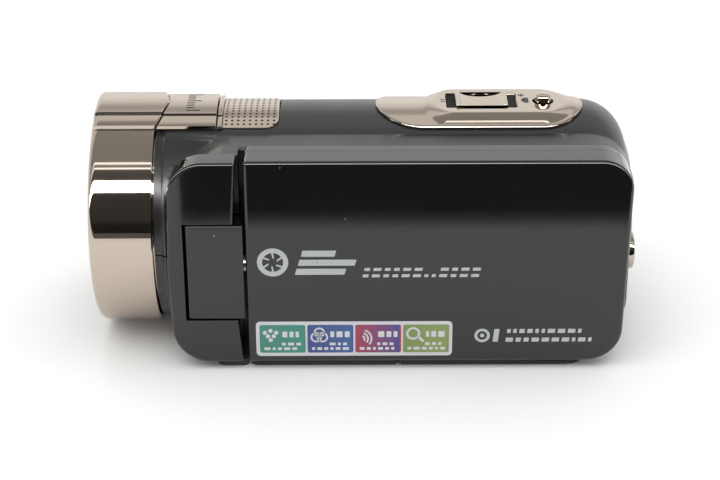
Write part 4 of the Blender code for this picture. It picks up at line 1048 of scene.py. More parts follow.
def upright(profile, x, y, steps=48):
    """Profile of (r, z) turned about a vertical line, closed on the axis at both ends."""
    rings = [[(x + max(r, 1e-9) * math.cos(2 * math.pi * k / steps),
               y + max(r, 1e-9) * math.sin(2 * math.pi * k / steps), z) for k in range(steps)]
             for r, z in profile]
    return skin(rings, caps=False)


top = photo_high.z
picture = piece("photo_button_plated", upright([
    (0, photo_low.z), (mm, photo_low.z), (mm, 54.1 * mm), (button_r, 54.1 * mm),
    (button_r, top - 0.7 * mm), (button_r - 0.15 * mm, top - 0.42 * mm),
    (button_r - 0.5 * mm, top - 0.2 * mm), (button_r * 0.5, top - 0.05 * mm), (0, top)],
    photo_x, photo_y), black_nickel, 35)
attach(picture, "photo_button_part")
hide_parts("photo_button")

# ------------------------------------------------------------------ front optics
# A stepped black baffle inside the ring, a turned barrel with the lens group, and a small
# video lamp behind a clear window. The front lens is coated and shows violet and green.

front_x = ring_front
baffle_profile = [(front_x + 3.4 * mm, 21.9 * mm)]
steps_in = 9
for k in range(steps_in):
    share = (k + 1) / steps_in
    r = (21.9 - 10.3 * share) * mm
    x = front_x + (3.4 + 3.4 * share) * mm
    baffle_profile += [(x - 0.12 * mm, r + 0.25 * mm), (x, r)]
baffle_profile += [(front_x + 5.9 * mm, 10.6 * mm), (front_x + 6.2 * mm, 10.5 * mm),
                   (front_x + 9.0 * mm, 10.5 * mm), (front_x + 9.0 * mm, 12.0 * mm),
                   (front_x + 5.2 * mm, 21.9 * mm)]
baffle = piece("lens_baffle", turned(baffle_profile, 160), satin_black, 20)
lamp_low, lamp_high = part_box("lamp_window")
lamp_z = (lamp_low.z + lamp_high.z) / 2
carve(baffle, peg('X', lens_y, lamp_z, 2.7 * mm, front_x, front_x + 12 * mm, 48))
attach(baffle, "camera_body")
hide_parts("front_bezel")

barrel_black, shader = new_finish("anodised_barrel", Base_Color=(0.012, 0.012, 0.013, 1),
                                  Metallic=0.6)
place = add_node(barrel_black, "ShaderNodeTexCoord")
uneven(barrel_black, shader, place, 120.0, 0.3, 0.42, 2500.0, 0.05)
barrel = piece("lens_barrel_turned", turned([
    (front_x + 5.6 * mm, 10.1 * mm), (front_x + 5.4 * mm, 9.9 * mm),
    (front_x + 5.4 * mm, 8.8 * mm), (front_x + 5.5 * mm, 8.6 * mm),
    (front_x + 6.3 * mm, 8.1 * mm), (front_x + 6.4 * mm, 8.0 * mm),
    (front_x + 7.0 * mm, 8.0 * mm), (front_x + 7.0 * mm, 9.0 * mm), (-30 * mm, 9.0 * mm),
    (-30 * mm, 10.1 * mm)]), barrel_black, 30)
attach(barrel, "camera_body")
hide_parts("lens_barrel")

lens_glass, shader = new_finish("coated_lens_glass", Transmission_Weight=1.0, IOR=1.52,
                                Base_Color=(0.93, 0.96, 0.97, 1), Coat_Weight=1.0,
                                Coat_Roughness=0.02, Coat_Tint=(0.45, 0.35, 1.0, 1))
place = add_node(lens_glass, "ShaderNodeTexCoord")
film = add_node(lens_glass, "ShaderNodeTexNoise",
                {"Vector": place.outputs["Object"], "Scale": 60.0, "Detail": 3.0})
spread = add_node(lens_glass, "ShaderNodeMapRange",
                  {"Value": film.outputs["Fac"], "To Min": 0.0, "To Max": 0.03})
lens_glass.node_tree.links.new(spread.outputs["Result"], shader.inputs["Roughness"])
tint = add_node(lens_glass, "ShaderNodeLayerWeight", {"Blend": 0.35})
shift = add_node(lens_glass, "ShaderNodeMix",
                 {"Factor": tint.outputs["Facing"], "A": (0.35, 0.3, 1.0, 1),
                  "B": (0.25, 1.0, 0.6, 1)}, data_type='RGBA')
lens_glass.node_tree.links.new(shift.outputs["Result"], shader.inputs["Coat Tint"])
dome = [(front_x + (7.3 + 2.2 * (1 - math.sqrt(1 - (r / 9.5) ** 2))) * mm, r * mm)
        for r in (8.6 * k / 16 for k in range(17))]
hollow_side = [(front_x + (10.2 + 1.0 * (r / 8.6) ** 2) * mm, r * mm)
               for r in (8.6 * (16 - k) / 16 for k in range(17))]
front_glass = piece("front_lens_coated", turned(dome + hollow_side, 96), lens_glass, 40)
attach(front_glass, "camera_body")
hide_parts("front_lens")


def dress(material, *nodes):
    """Give CAD nodes a material through their objects' slots; their meshes stay as they are."""
    for name in nodes:
        for slot in bpy.data.objects[name].material_slots:
            slot.link = 'OBJECT'
            slot.material = material


dress(lens_glass, "rear_lens", "ir_filter")
lamp_clear, shader = new_finish("lamp_window_clear", Transmission_Weight=0.9, IOR=1.49,
                                Base_Color=(0.95, 0.95, 0.92, 1))
place = add_node(lamp_clear, "ShaderNodeTexCoord")
uneven(lamp_clear, shader, place, 200.0, 0.12, 0.2, 1500.0, 0.4)
dress(lamp_clear, "lamp_window")
phosphor, shader = new_finish("lamp_phosphor", Base_Color=(0.8, 0.62, 0.12, 1))
place = add_node(phosphor, "ShaderNodeTexCoord")
uneven(phosphor, shader, place, 300.0, 0.4, 0.6, 2500.0, 0.1)
dress(phosphor, "lamp_led")
dress(display_off, "image_sensor", "lcd_panel")

# ------------------------------------------------------------------ steel and brass
# Turned and pressed steel: the hinge pin, bracket and shaft, the long case screws, the socket
# shells and the cans of the microphones and speaker. Black switch bodies. Brass contacts.

bright_steel, shader = new_finish("bright_steel", Metallic=1.0, Base_Color=(0.60, 0.60, 0.61, 1))
place = add_node(bright_steel, "ShaderNodeTexCoord")
stretch = add_node(bright_steel, "ShaderNodeMapping",
                   {"Vector": place.outputs["Object"], "Scale": (900.0, 900.0, 90.0)})
brush = add_node(bright_steel, "ShaderNodeTexNoise", {"Vector": stretch.outputs["Vector"],
                                                      "Scale": 3.0, "Detail": 2.0})
spread = add_node(bright_steel, "ShaderNodeMapRange",
                  {"Value": brush.outputs["Fac"], "To Min": 0.18, "To Max": 0.36})
bright_steel.node_tree.links.new(spread.outputs["Result"], shader.inputs["Roughness"])
dress(bright_steel, "hinge_pin", "hinge_bracket", "swivel_shaft", "case_screw_1",
      "case_screw_2", "case_screw_3", "case_screw_4", "usb_socket", "hdmi_socket",
      "microphone_left", "microphone_right", "card_socket", "speaker", "lcd_backlight")
switch_black, shader = new_finish("switch_body", Base_Color=(0.03, 0.03, 0.032, 1))
place = add_node(switch_black, "ShaderNodeTexCoord")
uneven(switch_black, shader, place, 200.0, 0.35, 0.5, 2500.0, 0.1)
dress(switch_black, "record_switch", "photo_switch", "zoom_switch")
brass, shader = new_finish("nickelled_brass", Metallic=1.0, Base_Color=(0.75, 0.60, 0.34, 1))
place = add_node(brass, "ShaderNodeTexCoord")
uneven(brass, shader, place, 150.0, 0.2, 0.34, 1500.0, 0.05)
dress(brass, "battery_contacts")

# ------------------------------------------------------------------ boards and battery
# Etched circuit boards with green solder mask, and a lithium pack in a grey wrapper.

solder_mask, shader = new_finish("green_solder_mask", Coat_Weight=0.3)
place = add_node(solder_mask, "ShaderNodeTexCoord")
traces = add_node(solder_mask, "ShaderNodeTexBrick",
                  {"Vector": place.outputs["Object"], "Scale": 350.0, "Mortar Size": 0.06,
                   "Color1": (0.01, 0.10, 0.035, 1), "Color2": (0.012, 0.13, 0.045, 1),
                   "Mortar": (0.09, 0.22, 0.06, 1)})
solder_mask.node_tree.links.new(traces.outputs["Color"], shader.inputs["Base Color"])
uneven(solder_mask, shader, place, 100.0, 0.3, 0.45, 900.0, 0.2)
dress(solder_mask, "sensor_board", "main_board", "key_board", "rear_board")
wrapper, shader = new_finish("battery_wrapper", Base_Color=(0.16, 0.165, 0.17, 1))
place = add_node(wrapper, "ShaderNodeTexCoord")
uneven(wrapper, shader, place, 70.0, 0.35, 0.5, 700.0, 0.15)
dress(wrapper, "battery_pack")

# ------------------------------------------------------------------ bay behind the lid
# Moulded side panel with a fine leather grain. Four keys stand in it behind the hinge and
# the speaker sits behind five slots and a woven mesh. The keys carry plain pictograms.


def row_tree():
    """Geometry Nodes: one shape repeated along a straight line."""
    tree = bpy.data.node_groups.new("repeat_in_a_row", 'GeometryNodeTree')
    for title, kind in (("Geometry", 'NodeSocketGeometry'), ("Unit", 'NodeSocketObject'),
                        ("Count", 'NodeSocketInt'), ("Start", 'NodeSocketVector'),
                        ("Step", 'NodeSocketVector'), ("Finish", 'NodeSocketMaterial')):
        tree.interface.new_socket(title, in_out='INPUT', socket_type=kind)
    tree.interface.new_socket("Geometry", in_out='OUTPUT', socket_type='NodeSocketGeometry')
    start, end = tree.nodes.new("NodeGroupInput"), tree.nodes.new("NodeGroupOutput")
    line = tree.nodes.new("GeometryNodeMeshLine")
    unit = tree.nodes.new("GeometryNodeObjectInfo")
    repeat = tree.nodes.new("GeometryNodeInstanceOnPoints")
    solid = tree.nodes.new("GeometryNodeRealizeInstances")
    paint = tree.nodes.new("GeometryNodeSetMaterial")
    for out, into in ((start.outputs["Count"], line.inputs["Count"]),
                      (start.outputs["Start"], line.inputs["Start Location"]),
                      (start.outputs["Step"], line.inputs["Offset"]),
                      (start.outputs["Unit"], unit.inputs["Object"]),
                      (line.outputs["Mesh"], repeat.inputs["Points"]),
                      (unit.outputs["Geometry"], repeat.inputs["Instance"]),
                      (repeat.outputs["Instances"], solid.inputs[0]),
                      (solid.outputs[0], paint.inputs["Geometry"]),
                      (start.outputs["Finish"], paint.inputs["Material"]),
                      (paint.outputs[0], end.inputs[0])):
        tree.links.new(out, into)
    return tree


in_a_row = row_tree()


def repeated(name, unit_bm, count, start, step, material):
    """One shape, drawn round the origin, repeated by the row tree."""
    unit = piece(name + "_unit", unit_bm, material)
    obj = grown_by_nodes(name, in_a_row, {"Unit": unit, "Count": count, "Start": start,
                                          "Step": step, "Finish": material})
    bpy.data.objects.remove(unit, do_unlink=True)
    return obj


grained_black, shader = new_finish("grained_black_abs", Base_Color=(0.02, 0.0205, 0.021, 1))
place = add_node(grained_black, "ShaderNodeTexCoord")
pebbles = add_node(grained_black, "ShaderNodeTexVoronoi",
                   {"Vector": place.outputs["Object"], "Scale": 1400.0})
relief = add_node(grained_black, "ShaderNodeBump", {"Height": pebbles.outputs["Distance"],
                                                    "Strength": 0.35, "Distance": 0.00006})
drift = add_node(grained_black, "ShaderNodeTexNoise", {"Vector": place.outputs["Object"],
                                                       "Scale": 60.0})
spread = add_node(grained_black, "ShaderNodeMapRange",
                  {"Value": drift.outputs["Fac"], "To Min": 0.38, "To Max": 0.55})
grained_black.node_tree.links.new(relief.outputs["Normal"], shader.inputs["Normal"])
grained_black.node_tree.links.new(spread.outputs["Result"], shader.inputs["Roughness"])

keys = ("power_button", "play_button", "menu_button", "lamp_button")
key_x = (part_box(keys[0])[0].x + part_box(keys[0])[1].x) / 2
speaker_low, speaker_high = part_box("speaker")
speaker_x = (speaker_low.x + speaker_high.x) / 2
speaker_z = (speaker_low.z + speaker_high.z) / 2
bay = piece("bay_panel_grained", slab(box_outline(bay_low.x, bay_low.z, bay_high.x, bay_high.z,
                                                  2.7 * mm), 'Y', bay_low.y, bay_high.y,
                                      0.25 * mm), grained_black)
carve(bay, *[slab(box_outline(key_x - 4.8 * mm, z - 2.5 * mm, key_x + 4.8 * mm, z + 2.5 * mm,
                              2.4 * mm), 'Y', bay_low.y - mm, bay_high.y + mm)
             for z in ((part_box(name)[0].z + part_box(name)[1].z) / 2 for name in keys)])
slots = repeated("speaker_slots", slab(box_outline(-6 * mm, -0.6 * mm, 6 * mm, 0.6 * mm,
                                                   0.55 * mm), 'Y', -mm, 3 * mm), 5,
                 (speaker_x, bay_low.y, speaker_z - 5.2 * mm), (0, 0, 2.6 * mm), grained_black)
dimple = slab(box_outline(bay_high.x - 7.2 * mm, 24 * mm, bay_high.x - 4.8 * mm, 29 * mm,
                          0.9 * mm), 'Y', bay_low.y - mm, bay_low.y + 0.6 * mm)
carve(bay, as_tool(slots), dimple)
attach(bay, "camera_body")
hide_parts("bay_panel")

speaker_mesh, shader = new_finish("speaker_mesh", Metallic=0.8)
place = add_node(speaker_mesh, "ShaderNodeTexCoord")
weave = add_node(speaker_mesh, "ShaderNodeTexChecker",
                 {"Vector": place.outputs["Object"], "Scale": 2600.0,
                  "Color1": (0.12, 0.12, 0.12, 1), "Color2": (0.01, 0.01, 0.01, 1)})
speaker_mesh.node_tree.links.new(weave.outputs["Color"], shader.inputs["Base Color"])
uneven(speaker_mesh, shader, place, 100.0, 0.35, 0.5, 2600.0, 0.3)
cloth = piece("speaker_mesh_disc", peg('Y', speaker_x, speaker_z, 8 * mm, bay_high.y + 0.05 * mm,
                                       bay_high.y + 0.25 * mm), speaker_mesh)
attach(cloth, "camera_body")

for name in keys:
    low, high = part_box(name)
    z = (low.z + high.z) / 2
    cap = piece(name + "_cap", slab(box_outline(key_x - 4.4 * mm, z - 2.1 * mm, key_x + 4.4 * mm,
                                                z + 2.1 * mm, 2.0 * mm), 'Y', low.y,
                                    low.y + 1.7 * mm, 0.4 * mm), satin_black)
    carve(cap, slab(box_outline(low.x, low.z, high.x, high.z, 0.8 * mm), 'Y', high.y - 0.8 * mm,
                    high.y), operation='UNION')
    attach(cap, name + "_part")
    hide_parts(name)
    face_y = low.y - 0.015 * mm

    def on_key(outline):
        return slab(outline, 'Y', face_y, face_y + 0.012 * mm)

    if name == "power_button":
        figure = [on_key(arc(key_x, z, 1.15 * mm, 125, 415, 24)
                         + arc(key_x, z, 0.85 * mm, 415, 125, 24)),
                  on_key(box_outline(key_x - 0.15 * mm, z, key_x + 0.15 * mm, z + 1.3 * mm))]
    elif name == "play_button":
        figure = [on_key([(key_x - 0.8 * mm, z - mm), (key_x + 1.1 * mm, z),
                          (key_x - 0.8 * mm, z + mm)])]
    elif name == "menu_button":
        figure = [on_key(box_outline(key_x - 1.2 * mm, z + k * 0.75 * mm - 0.15 * mm,
                                     key_x + 1.2 * mm, z + k * 0.75 * mm + 0.15 * mm))
                  for k in (-1, 0, 1)]
    else:
        figure = [on_key(circle(key_x, z, 0.6 * mm, 24))]
        for k in range(8):
            a = math.pi * k / 4
            tip = [(0.85, -0.1), (1.35, -0.1), (1.35, 0.1), (0.85, 0.1)]
            figure.append(on_key([(key_x + (u * math.cos(a) - v * math.sin(a)) * mm,
                                   z + (u * math.sin(a) + v * math.cos(a)) * mm)
                                  for u, v in tip]))
    sign = piece(name + "_pictogram", merged(figure), silver_ink)
    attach(sign, name + "_part")

# ------------------------------------------------------------------ rear controls
# A plated record key with a red centre, a rubber flap over the two sockets with a lip for
# a fingernail, and a small status light.

record_key = piece("record_key_plated", turned([
    (record_low.x, 0), (record_low.x, 1.6 * mm), (58.6 * mm, 1.6 * mm), (58.6 * mm, 4.5 * mm),
    (record_high.x - 0.8 * mm, 4.5 * mm), (record_high.x - 0.25 * mm, 4.25 * mm),
    (record_high.x, 3.7 * mm), (record_high.x, 3.2 * mm), (record_high.x - 0.5 * mm, 2.2 * mm),
    (record_high.x - 0.6 * mm, 0)], 72, record_y, record_z), black_nickel, 35)
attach(record_key, "record_button_part")
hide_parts("record_button")
red_ink, shader = new_finish("red_ink", Base_Color=(0.45, 0.012, 0.01, 1), Coat_Weight=0.3)
place = add_node(red_ink, "ShaderNodeTexCoord")
uneven(red_ink, shader, place, 300.0, 0.3, 0.42, 2500.0, 0.05)
dot = piece("record_dot", peg('X', record_y, record_z, 1.3 * mm, record_high.x - 0.62 * mm,
                              record_high.x - 0.52 * mm, 32), red_ink)
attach(dot, "record_button_part")

soft_rubber, shader = new_finish("soft_rubber", Base_Color=(0.022, 0.022, 0.023, 1),
                                 Sheen_Weight=0.15)
place = add_node(soft_rubber, "ShaderNodeTexCoord")
uneven(soft_rubber, shader, place, 60.0, 0.6, 0.75, 1800.0, 0.2)
flap_outline = box_outline(flap_low.y, flap_low.z, flap_high.y, flap_high.z, 1.2 * mm)
flap = piece("port_flap_rubber", slab(flap_outline, 'X', flap_low.x, flap_high.x, 0.1 * mm,
                                      0.35 * mm), soft_rubber)
flap_y = (flap_low.y + flap_high.y) / 2
carve(flap, slab(box_outline(flap_y - 2.2 * mm, flap_high.z - 1.5 * mm, flap_y + 2.2 * mm,
                             flap_high.z - 0.9 * mm, 0.28 * mm), 'X', flap_high.x - 0.5 * mm,
                 flap_high.x + mm))
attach(flap, "port_cover_part")
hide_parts("port_cover")

status = piece("status_light", peg('X', -11.0 * mm, 30.0 * mm, 0.8 * mm, 60.2 * mm, 60.95 * mm,
                                   24, 0.15 * mm), lamp_clear)
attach(status, "camera_body")

# ------------------------------------------------------------------ base
# Thin rubber-coated plates under the case. The battery door has a row of grip ribs and an
# arrow sunk into it, and the brass bush has a 1.27 mm pitch thread.


def copied(node, name, material):
    """A merged copy of a CAD node's mesh as a new piece."""
    bm = bmesh.new()
    bm.from_mesh(bpy.data.objects[node].data)
    bmesh.ops.transform(bm, matrix=bpy.data.objects[node].matrix_world, verts=bm.verts)
    bmesh.ops.remove_doubles(bm, verts=bm.verts, dist=2e-6)
    return piece(name, bm, material)


door = copied("battery_door", "battery_door_ribbed", soft_rubber)
ribs = repeated("door_ribs", slab(box_outline(-0.35 * mm, -6 * mm, 0.35 * mm, 6 * mm,
                                              0.3 * mm, 3), 'Z', -mm, 0.35 * mm), 7,
                (12 * mm, lens_y - 9 * mm, 0), (1.6 * mm, 0, 0), soft_rubber)
arrow = slab([(26 * mm, lens_y - 11.5 * mm), (30.5 * mm, lens_y - 9 * mm),
              (26 * mm, lens_y - 6.5 * mm)], 'Z', -mm, 0.3 * mm)
carve(door, as_tool(ribs), arrow)
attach(door, "battery_door_part")
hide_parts("battery_door")
dress(soft_rubber, "front_foot", "base_plate")

thread = [(0, 7.5 * mm)]
turns = 10
for k in range(turns):
    z = 7.4 * mm - k * 0.635 * mm
    thread.append(((3.0 if k % 2 else 3.35) * mm, z))
thread += [(3.4 * mm, bush_low.z + 0.4 * mm), (3.8 * mm, bush_low.z), (4.7 * mm, bush_low.z),
           (4.9 * mm, bush_low.z + 0.2 * mm), (4.9 * mm, 4.1 * mm), (7.5 * mm, 4.1 * mm),
           (7.5 * mm, 5.4 * mm), (4.9 * mm, 5.4 * mm), (4.9 * mm, bush_high.z),
           (0, bush_high.z)]
bush = piece("tripod_bush_threaded", upright(thread, bush_x, bush_y, 64), brass, 30)
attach(bush, "camera_body")
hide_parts("tripod_bush")

# ------------------------------------------------------------------ hand strap
# Woven nylon webbing, folded round two moulded lugs and box-stitched, with a padded
# cushion of foam in thin fabric for the back of the hand.

webbing, shader = new_finish("woven_webbing", Sheen_Weight=0.3, Roughness=0.85)
lengths = add_node(webbing, "ShaderNodeUVMap", uv_map="webbing")
thread_u = add_node(webbing, "ShaderNodeSeparateXYZ", {"Vector": lengths.outputs["UV"]})


def rib_wave(axis, frequency):
    scaled = add_node(webbing, "ShaderNodeMath", {0: thread_u.outputs[axis], 1: frequency},
                      operation='MULTIPLY')
    return add_node(webbing, "ShaderNodeMath", {0: scaled.outputs[0]}, operation='SINE')


crossing = add_node(webbing, "ShaderNodeMath",
                    {0: rib_wave("X", 5200.0).outputs[0], 1: rib_wave("Y", 4200.0).outputs[0]},
                    operation='MULTIPLY')
tone = add_node(webbing, "ShaderNodeMapRange", {"Value": crossing.outputs[0], "From Min": -1.0})
mix = add_node(webbing, "ShaderNodeMix", {"Factor": tone.outputs["Result"],
                                          "A": (0.012, 0.012, 0.013, 1),
                                          "B": (0.04, 0.04, 0.042, 1)}, data_type='RGBA')
relief = add_node(webbing, "ShaderNodeBump", {"Height": tone.outputs["Result"],
                                              "Strength": 0.7, "Distance": 0.0002})
webbing.node_tree.links.new(mix.outputs["Result"], shader.inputs["Base Color"])
webbing.node_tree.links.new(relief.outputs["Normal"], shader.inputs["Normal"])

face_y = lid_low.y
lug_front = (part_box("strap_lug_front")[0].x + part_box("strap_lug_front")[1].x) / 2
lug_rear = (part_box("strap_lug_rear")[0].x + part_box("strap_lug_rear")[1].x) / 2
band_low, band_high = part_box("strap_band")
fold = [(-24.0, 60.3), (-29.0, 59.0), (-33.0, 57.0), (lug_front / mm, 56.3),
        (lug_front / mm - 2.0, 56.9), (lug_front / mm - 2.6, 58.4), (lug_front / mm - 2.0, 59.9),
        (lug_front / mm, 60.6), (-29.0, 61.8), (-20.0, 63.3), (-10.0, 64.6)]
shift = (lug_front + lug_rear) / mm
route = fold + [(shift / 2, 65.5)] + [(shift - x, y) for x, y in reversed(fold)]


def smooth_line(points, per_span=6):
    """Catmull-Rom curve through points given in millimetres as (x, depth)."""
    result = []
    for i in range(len(points) - 1):
        p0, p1 = Vector(points[max(i - 1, 0)]), Vector(points[i])
        p2, p3 = Vector(points[i + 1]), Vector(points[min(i + 2, len(points) - 1)])
        for k in range(per_span):
            t = k / per_span
            result.append(0.5 * (2 * p1 + (p2 - p0) * t + (2 * p0 - 5 * p1 + 4 * p2 - p3) * t ** 2
                                 + (3 * p1 - p0 - 3 * p2 + p3) * t ** 3))
    result.append(Vector(points[-1]))
    return [Vector((p.x * mm, face_y + p.y * mm)) for p in result]


line = smooth_line(route)
half_thick = 0.5 * mm
bm = bmesh.new()
uv = bm.loops.layers.uv.new("webbing")
rings, reach, distances = [], 0.0, []
for k, point in enumerate(line):
    ahead = line[min(k + 1, len(line) - 1)] - line[max(k - 1, 0)]
    side = Vector((-ahead.y, ahead.x)).normalized() * half_thick
    ring = []
    for z, share in ((band_low.z, 0.4), (band_low.z + 0.4 * mm, 1.0),
                     (band_high.z - 0.4 * mm, 1.0), (band_high.z, 0.4),
                     (band_high.z, -0.4), (band_high.z - 0.4 * mm, -1.0),
                     (band_low.z + 0.4 * mm, -1.0), (band_low.z, -0.4)):
        ring.append(bm.verts.new((point.x + side.x * share, point.y + side.y * share, z)))
    reach += (point - line[k - 1]).length if k else 0.0
    distances.append(reach)
    rings.append(ring)
for k in range(len(rings) - 1):
    for i in range(8):
        quad = (rings[k][i - 1], rings[k][i], rings[k + 1][i], rings[k + 1][i - 1])
        quad_face = bm.faces.new(quad)
        for loop in quad_face.loops:
            along = distances[k] if loop.vert in rings[k] else distances[k + 1]
            loop[uv].uv = (along, loop.vert.co.z)
bm.faces.new(rings[0][::-1])
bm.faces.new(rings[-1])
band = piece("strap_webbing", bm, webbing, 50)
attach(band, "camera_body")
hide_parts("strap_band")

stitch_thread, shader = new_finish("stitch_thread", Base_Color=(0.09, 0.09, 0.092, 1))
place = add_node(stitch_thread, "ShaderNodeTexCoord")
uneven(stitch_thread, shader, place, 500.0, 0.6, 0.8, 4000.0, 0.4)


def surface_y(x):
    """Outer face of the webbing at an x between the folds."""
    outer = [p for p in line if p.y > face_y + 60.5 * mm or abs(p.x - (shift / 2) * mm) < 20 * mm]
    nearest = sorted(outer, key=lambda p: abs(p.x - x))[:2]
    return max(p.y for p in nearest) + half_thick


for number, x in enumerate((-29.5, -24.5, shift + 24.5, shift + 29.5), start=1):
    seam = repeated(f"strap_stitches_{number}",
                    slab(box_outline(-0.2 * mm, -0.55 * mm, 0.2 * mm, 0.55 * mm, 0.18 * mm, 3),
                         'Y', -0.25 * mm, 0.12 * mm, 0.0, 0.1 * mm), 10,
                    (x * mm, surface_y(x * mm), band_low.z + 1.8 * mm), (0, 0, 1.6 * mm),
                    stitch_thread)
    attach(seam, "camera_body")

pad_low, pad_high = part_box("strap_pad")
pad_mid = (pad_low.x + pad_high.x) / 2
cushion_fabric, shader = new_finish("cushion_fabric", Sheen_Weight=0.25, Roughness=0.9)
place = add_node(cushion_fabric, "ShaderNodeTexCoord")
knit = add_node(cushion_fabric, "ShaderNodeTexVoronoi",
                {"Vector": place.outputs["Object"], "Scale": 1500.0})
mix = add_node(cushion_fabric, "ShaderNodeMix",
               {"Factor": knit.outputs["Distance"], "A": (0.022, 0.022, 0.023, 1),
                "B": (0.045, 0.045, 0.047, 1)}, data_type='RGBA')
relief = add_node(cushion_fabric, "ShaderNodeBump", {"Height": knit.outputs["Distance"],
                                                     "Strength": 0.6, "Distance": 0.00015})
cushion_fabric.node_tree.links.new(mix.outputs["Result"], shader.inputs["Base Color"])
cushion_fabric.node_tree.links.new(relief.outputs["Normal"], shader.inputs["Normal"])

pad_centre_y = face_y + 62.6 * mm
pad_bow = 3.4


def bowed(x):
    """Depth of the pad's middle surface: it follows the sweep of the webbing."""
    return pad_centre_y - pad_bow * (x - pad_mid) ** 2


rows = []
for k in range(25):
    x = pad_low.x + 0.8 * mm + (pad_high.x - pad_low.x - 1.6 * mm) * k / 24
    y = bowed(x)
    outline = box_outline(y - 1.1 * mm, pad_low.z + 0.8 * mm, y + 1.1 * mm,
                          pad_high.z - 0.8 * mm, 1.0 * mm, 3)
    rows.append([(x, u, v) for u, v in outline])
pad = piece("hand_pad", skin(rows), cushion_fabric, 60)
remesh = pad.modifiers.new("even faces", 'REMESH')
remesh.mode = 'VOXEL'
remesh.voxel_size = 1.1 * mm
graph = bpy.context.evaluated_depsgraph_get()
even = bpy.data.meshes.new_from_object(pad.evaluated_get(graph))
pad.modifiers.clear()
pad.data = even
before = [v.co.copy() for v in pad.data.vertices]
cloth_sim = pad.modifiers.new("fill", 'CLOTH')
cloth_sim.settings.use_pressure = True
cloth_sim.settings.uniform_pressure_force = 4.0
cloth_sim.settings.effector_weights.gravity = 0.0
cloth_sim.point_cache.frame_start = 1
cloth_sim.point_cache.frame_end = 20
for frame_number in range(1, 21):
    bpy.context.scene.frame_set(frame_number)
graph = bpy.context.evaluated_depsgraph_get()
filled = bpy.data.meshes.new_from_object(pad.evaluated_get(graph))
pad.modifiers.clear()
pad.data = filled
bpy.context.scene.frame_set(1)
furthest = 0.5 * mm
for vert, old in zip(pad.data.vertices, before):
    move = vert.co - old
    if move.length > furthest:
        vert.co = old + move.normalized() * furthest
    y = bowed(vert.co.x)
    vert.co.y = min(max(vert.co.y, y - 1.7 * mm), y + 1.7 * mm)
fine = pad.modifiers.new("finer", 'SUBSURF')
fine.levels = 1
graph = bpy.context.evaluated_depsgraph_get()
pad.data = bpy.data.meshes.new_from_object(pad.evaluated_get(graph))
pad.modifiers.clear()
pad.data.shade_smooth()
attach(pad, "camera_body")
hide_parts("strap_pad")

dress(satin_black, "strap_lug_front", "strap_lug_rear")

# ------------------------------------------------------------------ stage, light, camera
# A white sweep under two soft area lights and a plain bright surround. Mirror-like finishes
# see another surround instead: bands of brightness by elevation, chosen for the look
# from the front, and two black cards that only reflections show.

paper, shader = new_finish("paper_sweep", Base_Color=(0.80, 0.80, 0.795, 1), Roughness=0.85)
place = add_node(paper, "ShaderNodeTexCoord")
uneven(paper, shader, place, 8.0, 0.8, 0.9, 600.0, 0.03)
floor = piece("floor", slab(box_outline(-3.0, -3.0, 3.0, 3.0), 'Z', -0.02, 0.0), paper)

world = bpy.data.worlds.new("studio")
bpy.context.scene.world = world
world.use_nodes = True
sky = world.node_tree
for old in list(sky.nodes):
    sky.nodes.remove(old)


def sky_node(kind, inputs=None, **settings):
    node = sky.nodes.new(kind)
    for key, value in settings.items():
        setattr(node, key, value)
    for key, value in (inputs or {}).items():
        if isinstance(value, bpy.types.NodeSocket):
            sky.links.new(value, node.inputs[key])
        else:
            node.inputs[key].default_value = value
    return node


toward = sky_node("ShaderNodeTexCoord")
split = sky_node("ShaderNodeSeparateXYZ", {"Vector": toward.outputs["Generated"]})
facing = sky_node("ShaderNodeMath", {0: split.outputs["Y"], 1: -1.0}, operation='MULTIPLY')
height = sky_node("ShaderNodeMath", {0: split.outputs["Z"], 1: facing.outputs[0]},
                  operation='ARCTAN2')
share = sky_node("ShaderNodeMapRange", {"Value": height.outputs[0], "From Min": -math.pi,
                                        "From Max": math.pi})
bands = sky_node("ShaderNodeValToRGB", {"Fac": share.outputs["Result"]})
# elevation in degrees, measured from the viewer's side over the top, and brightness
room = ((-180, 0.8), (-100, 0.6), (-22, 0.02), (8, 0.02), (12, 0.05), (40.8, 0.07), (41.6, 16.0),
        (52.0, 16.0), (52.8, 0.1), (64.8, 0.14), (65.4, 3.0), (66.4, 3.0), (67, 0.3), (70.2, 0.3),
        (70.8, 3.0), (72, 3.0), (72.6, 0.34), (112, 0.38), (116, 0.9), (132, 0.9),
        (136, 0.58), (142, 0.58), (150, 0.95), (162, 1.15), (180, 1.0))
ramp = bands.color_ramp
while len(ramp.elements) > 1:
    ramp.elements.remove(ramp.elements[0])
for k, (degrees, level) in enumerate(room):
    element = ramp.elements[0] if k == 0 else ramp.elements.new((degrees + 180) / 360)
    element.position = (degrees + 180) / 360
    element.color = (level, level, level * 0.99, 1)
seen = sky_node("ShaderNodeLightPath")
glossy = sky_node("ShaderNodeBackground", {"Color": bands.outputs["Color"], "Strength": 1.0})
soft = sky_node("ShaderNodeBackground", {"Color": (1, 1, 1, 1), "Strength": 0.86})
choose = sky_node("ShaderNodeMixShader", {"Fac": seen.outputs["Is Glossy Ray"],
                                          1: soft.outputs[0], 2: glossy.outputs[0]})
sky_node("ShaderNodeOutputWorld", {"Surface": choose.outputs[0]})

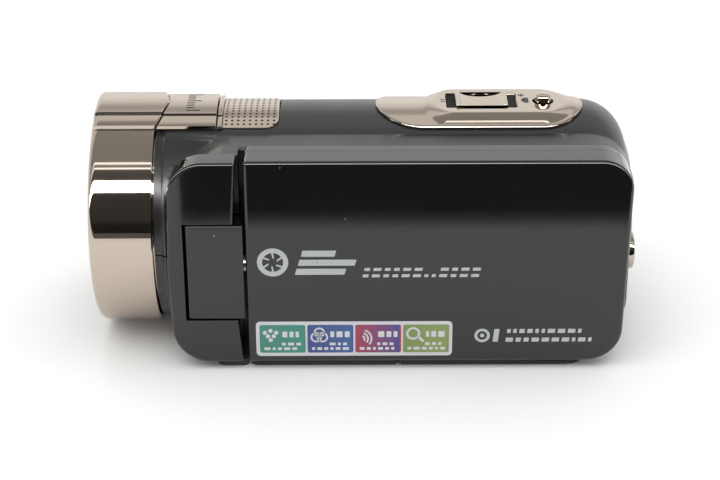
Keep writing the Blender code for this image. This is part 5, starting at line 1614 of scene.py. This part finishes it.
black_card, shader = new_finish("black_card", Base_Color=(0.004, 0.004, 0.004, 1), Roughness=0.9)
place = add_node(black_card, "ShaderNodeTexCoord")
uneven(black_card, shader, place, 10.0, 0.85, 0.95, 500.0, 0.02)
see_through = add_node(black_card, "ShaderNodeBsdfTransparent")
rise = add_node(black_card, "ShaderNodeSeparateXYZ", {"Vector": place.outputs["Object"]})
fade = add_node(black_card, "ShaderNodeMapRange",
                {"Value": rise.outputs["Z"], "From Min": 0.0005, "From Max": 0.007})
cover = add_node(black_card, "ShaderNodeMixShader",
                 {"Fac": fade.outputs["Result"], 1: see_through.outputs[0],
                  2: shader.outputs[0]})
black_card.node_tree.links.new(cover.outputs[0],
                               black_card.node_tree.nodes["Material Output"].inputs["Surface"])
upright_flag = slab(box_outline(-0.049, 0.0003, 1.2, 0.05), 'Y', lid_low.y - 0.074,
                    lid_low.y - 0.072)
flat_flag = slab(box_outline(-3.0, -3.0, 3.0, lid_low.y - 0.2), 'Z', 0.012, 0.014)
for name, bm in (("black_flag_upright", upright_flag), ("black_flag_flat", flat_flag)):
    flag = piece(name, bm, black_card)
    flag.visible_camera = False
    flag.visible_diffuse = False
    flag.visible_shadow = False
    flag.visible_transmission = False


def softbox(name, location, target, size, power):
    light = bpy.data.lights.new(name, 'AREA')
    light.shape = 'RECTANGLE'
    light.size, light.size_y = size
    light.energy = power
    obj = bpy.data.objects.new(name, light)
    obj.location = location
    direction = Vector(target) - Vector(location)
    obj.rotation_euler = direction.to_track_quat('-Z', 'Y').to_euler()
    bpy.context.scene.collection.objects.link(obj)
    obj.visible_glossy = False
    return obj


softbox("key_light", (-0.2, -0.45, 0.85), (0, 0, 0), (1.0, 0.6), 4.0)
softbox("back_light", (0.15, 0.2, 0.95), (0, 0, 0.02), (1.2, 0.8), 3.5)

camera_data = bpy.data.cameras.new("camera")
camera_data.sensor_width = 36.0
camera_data.lens = 90.0
camera = bpy.data.objects.new("camera", camera_data)
view_depth, view_height = 358.4 * mm, 207.8 * mm
camera.location = ((ring_low.x + 60.9 * mm), lid_low.y - view_depth, view_height)
tilt = Matrix.Rotation(math.radians(64.0), 3, 'X') @ Matrix.Rotation(-0.0035, 3, 'Z')
camera.rotation_euler = tilt.to_euler()
bpy.context.scene.collection.objects.link(camera)
bpy.context.scene.camera = camera
bpy.context.scene.view_settings.view_transform = 'Standard'
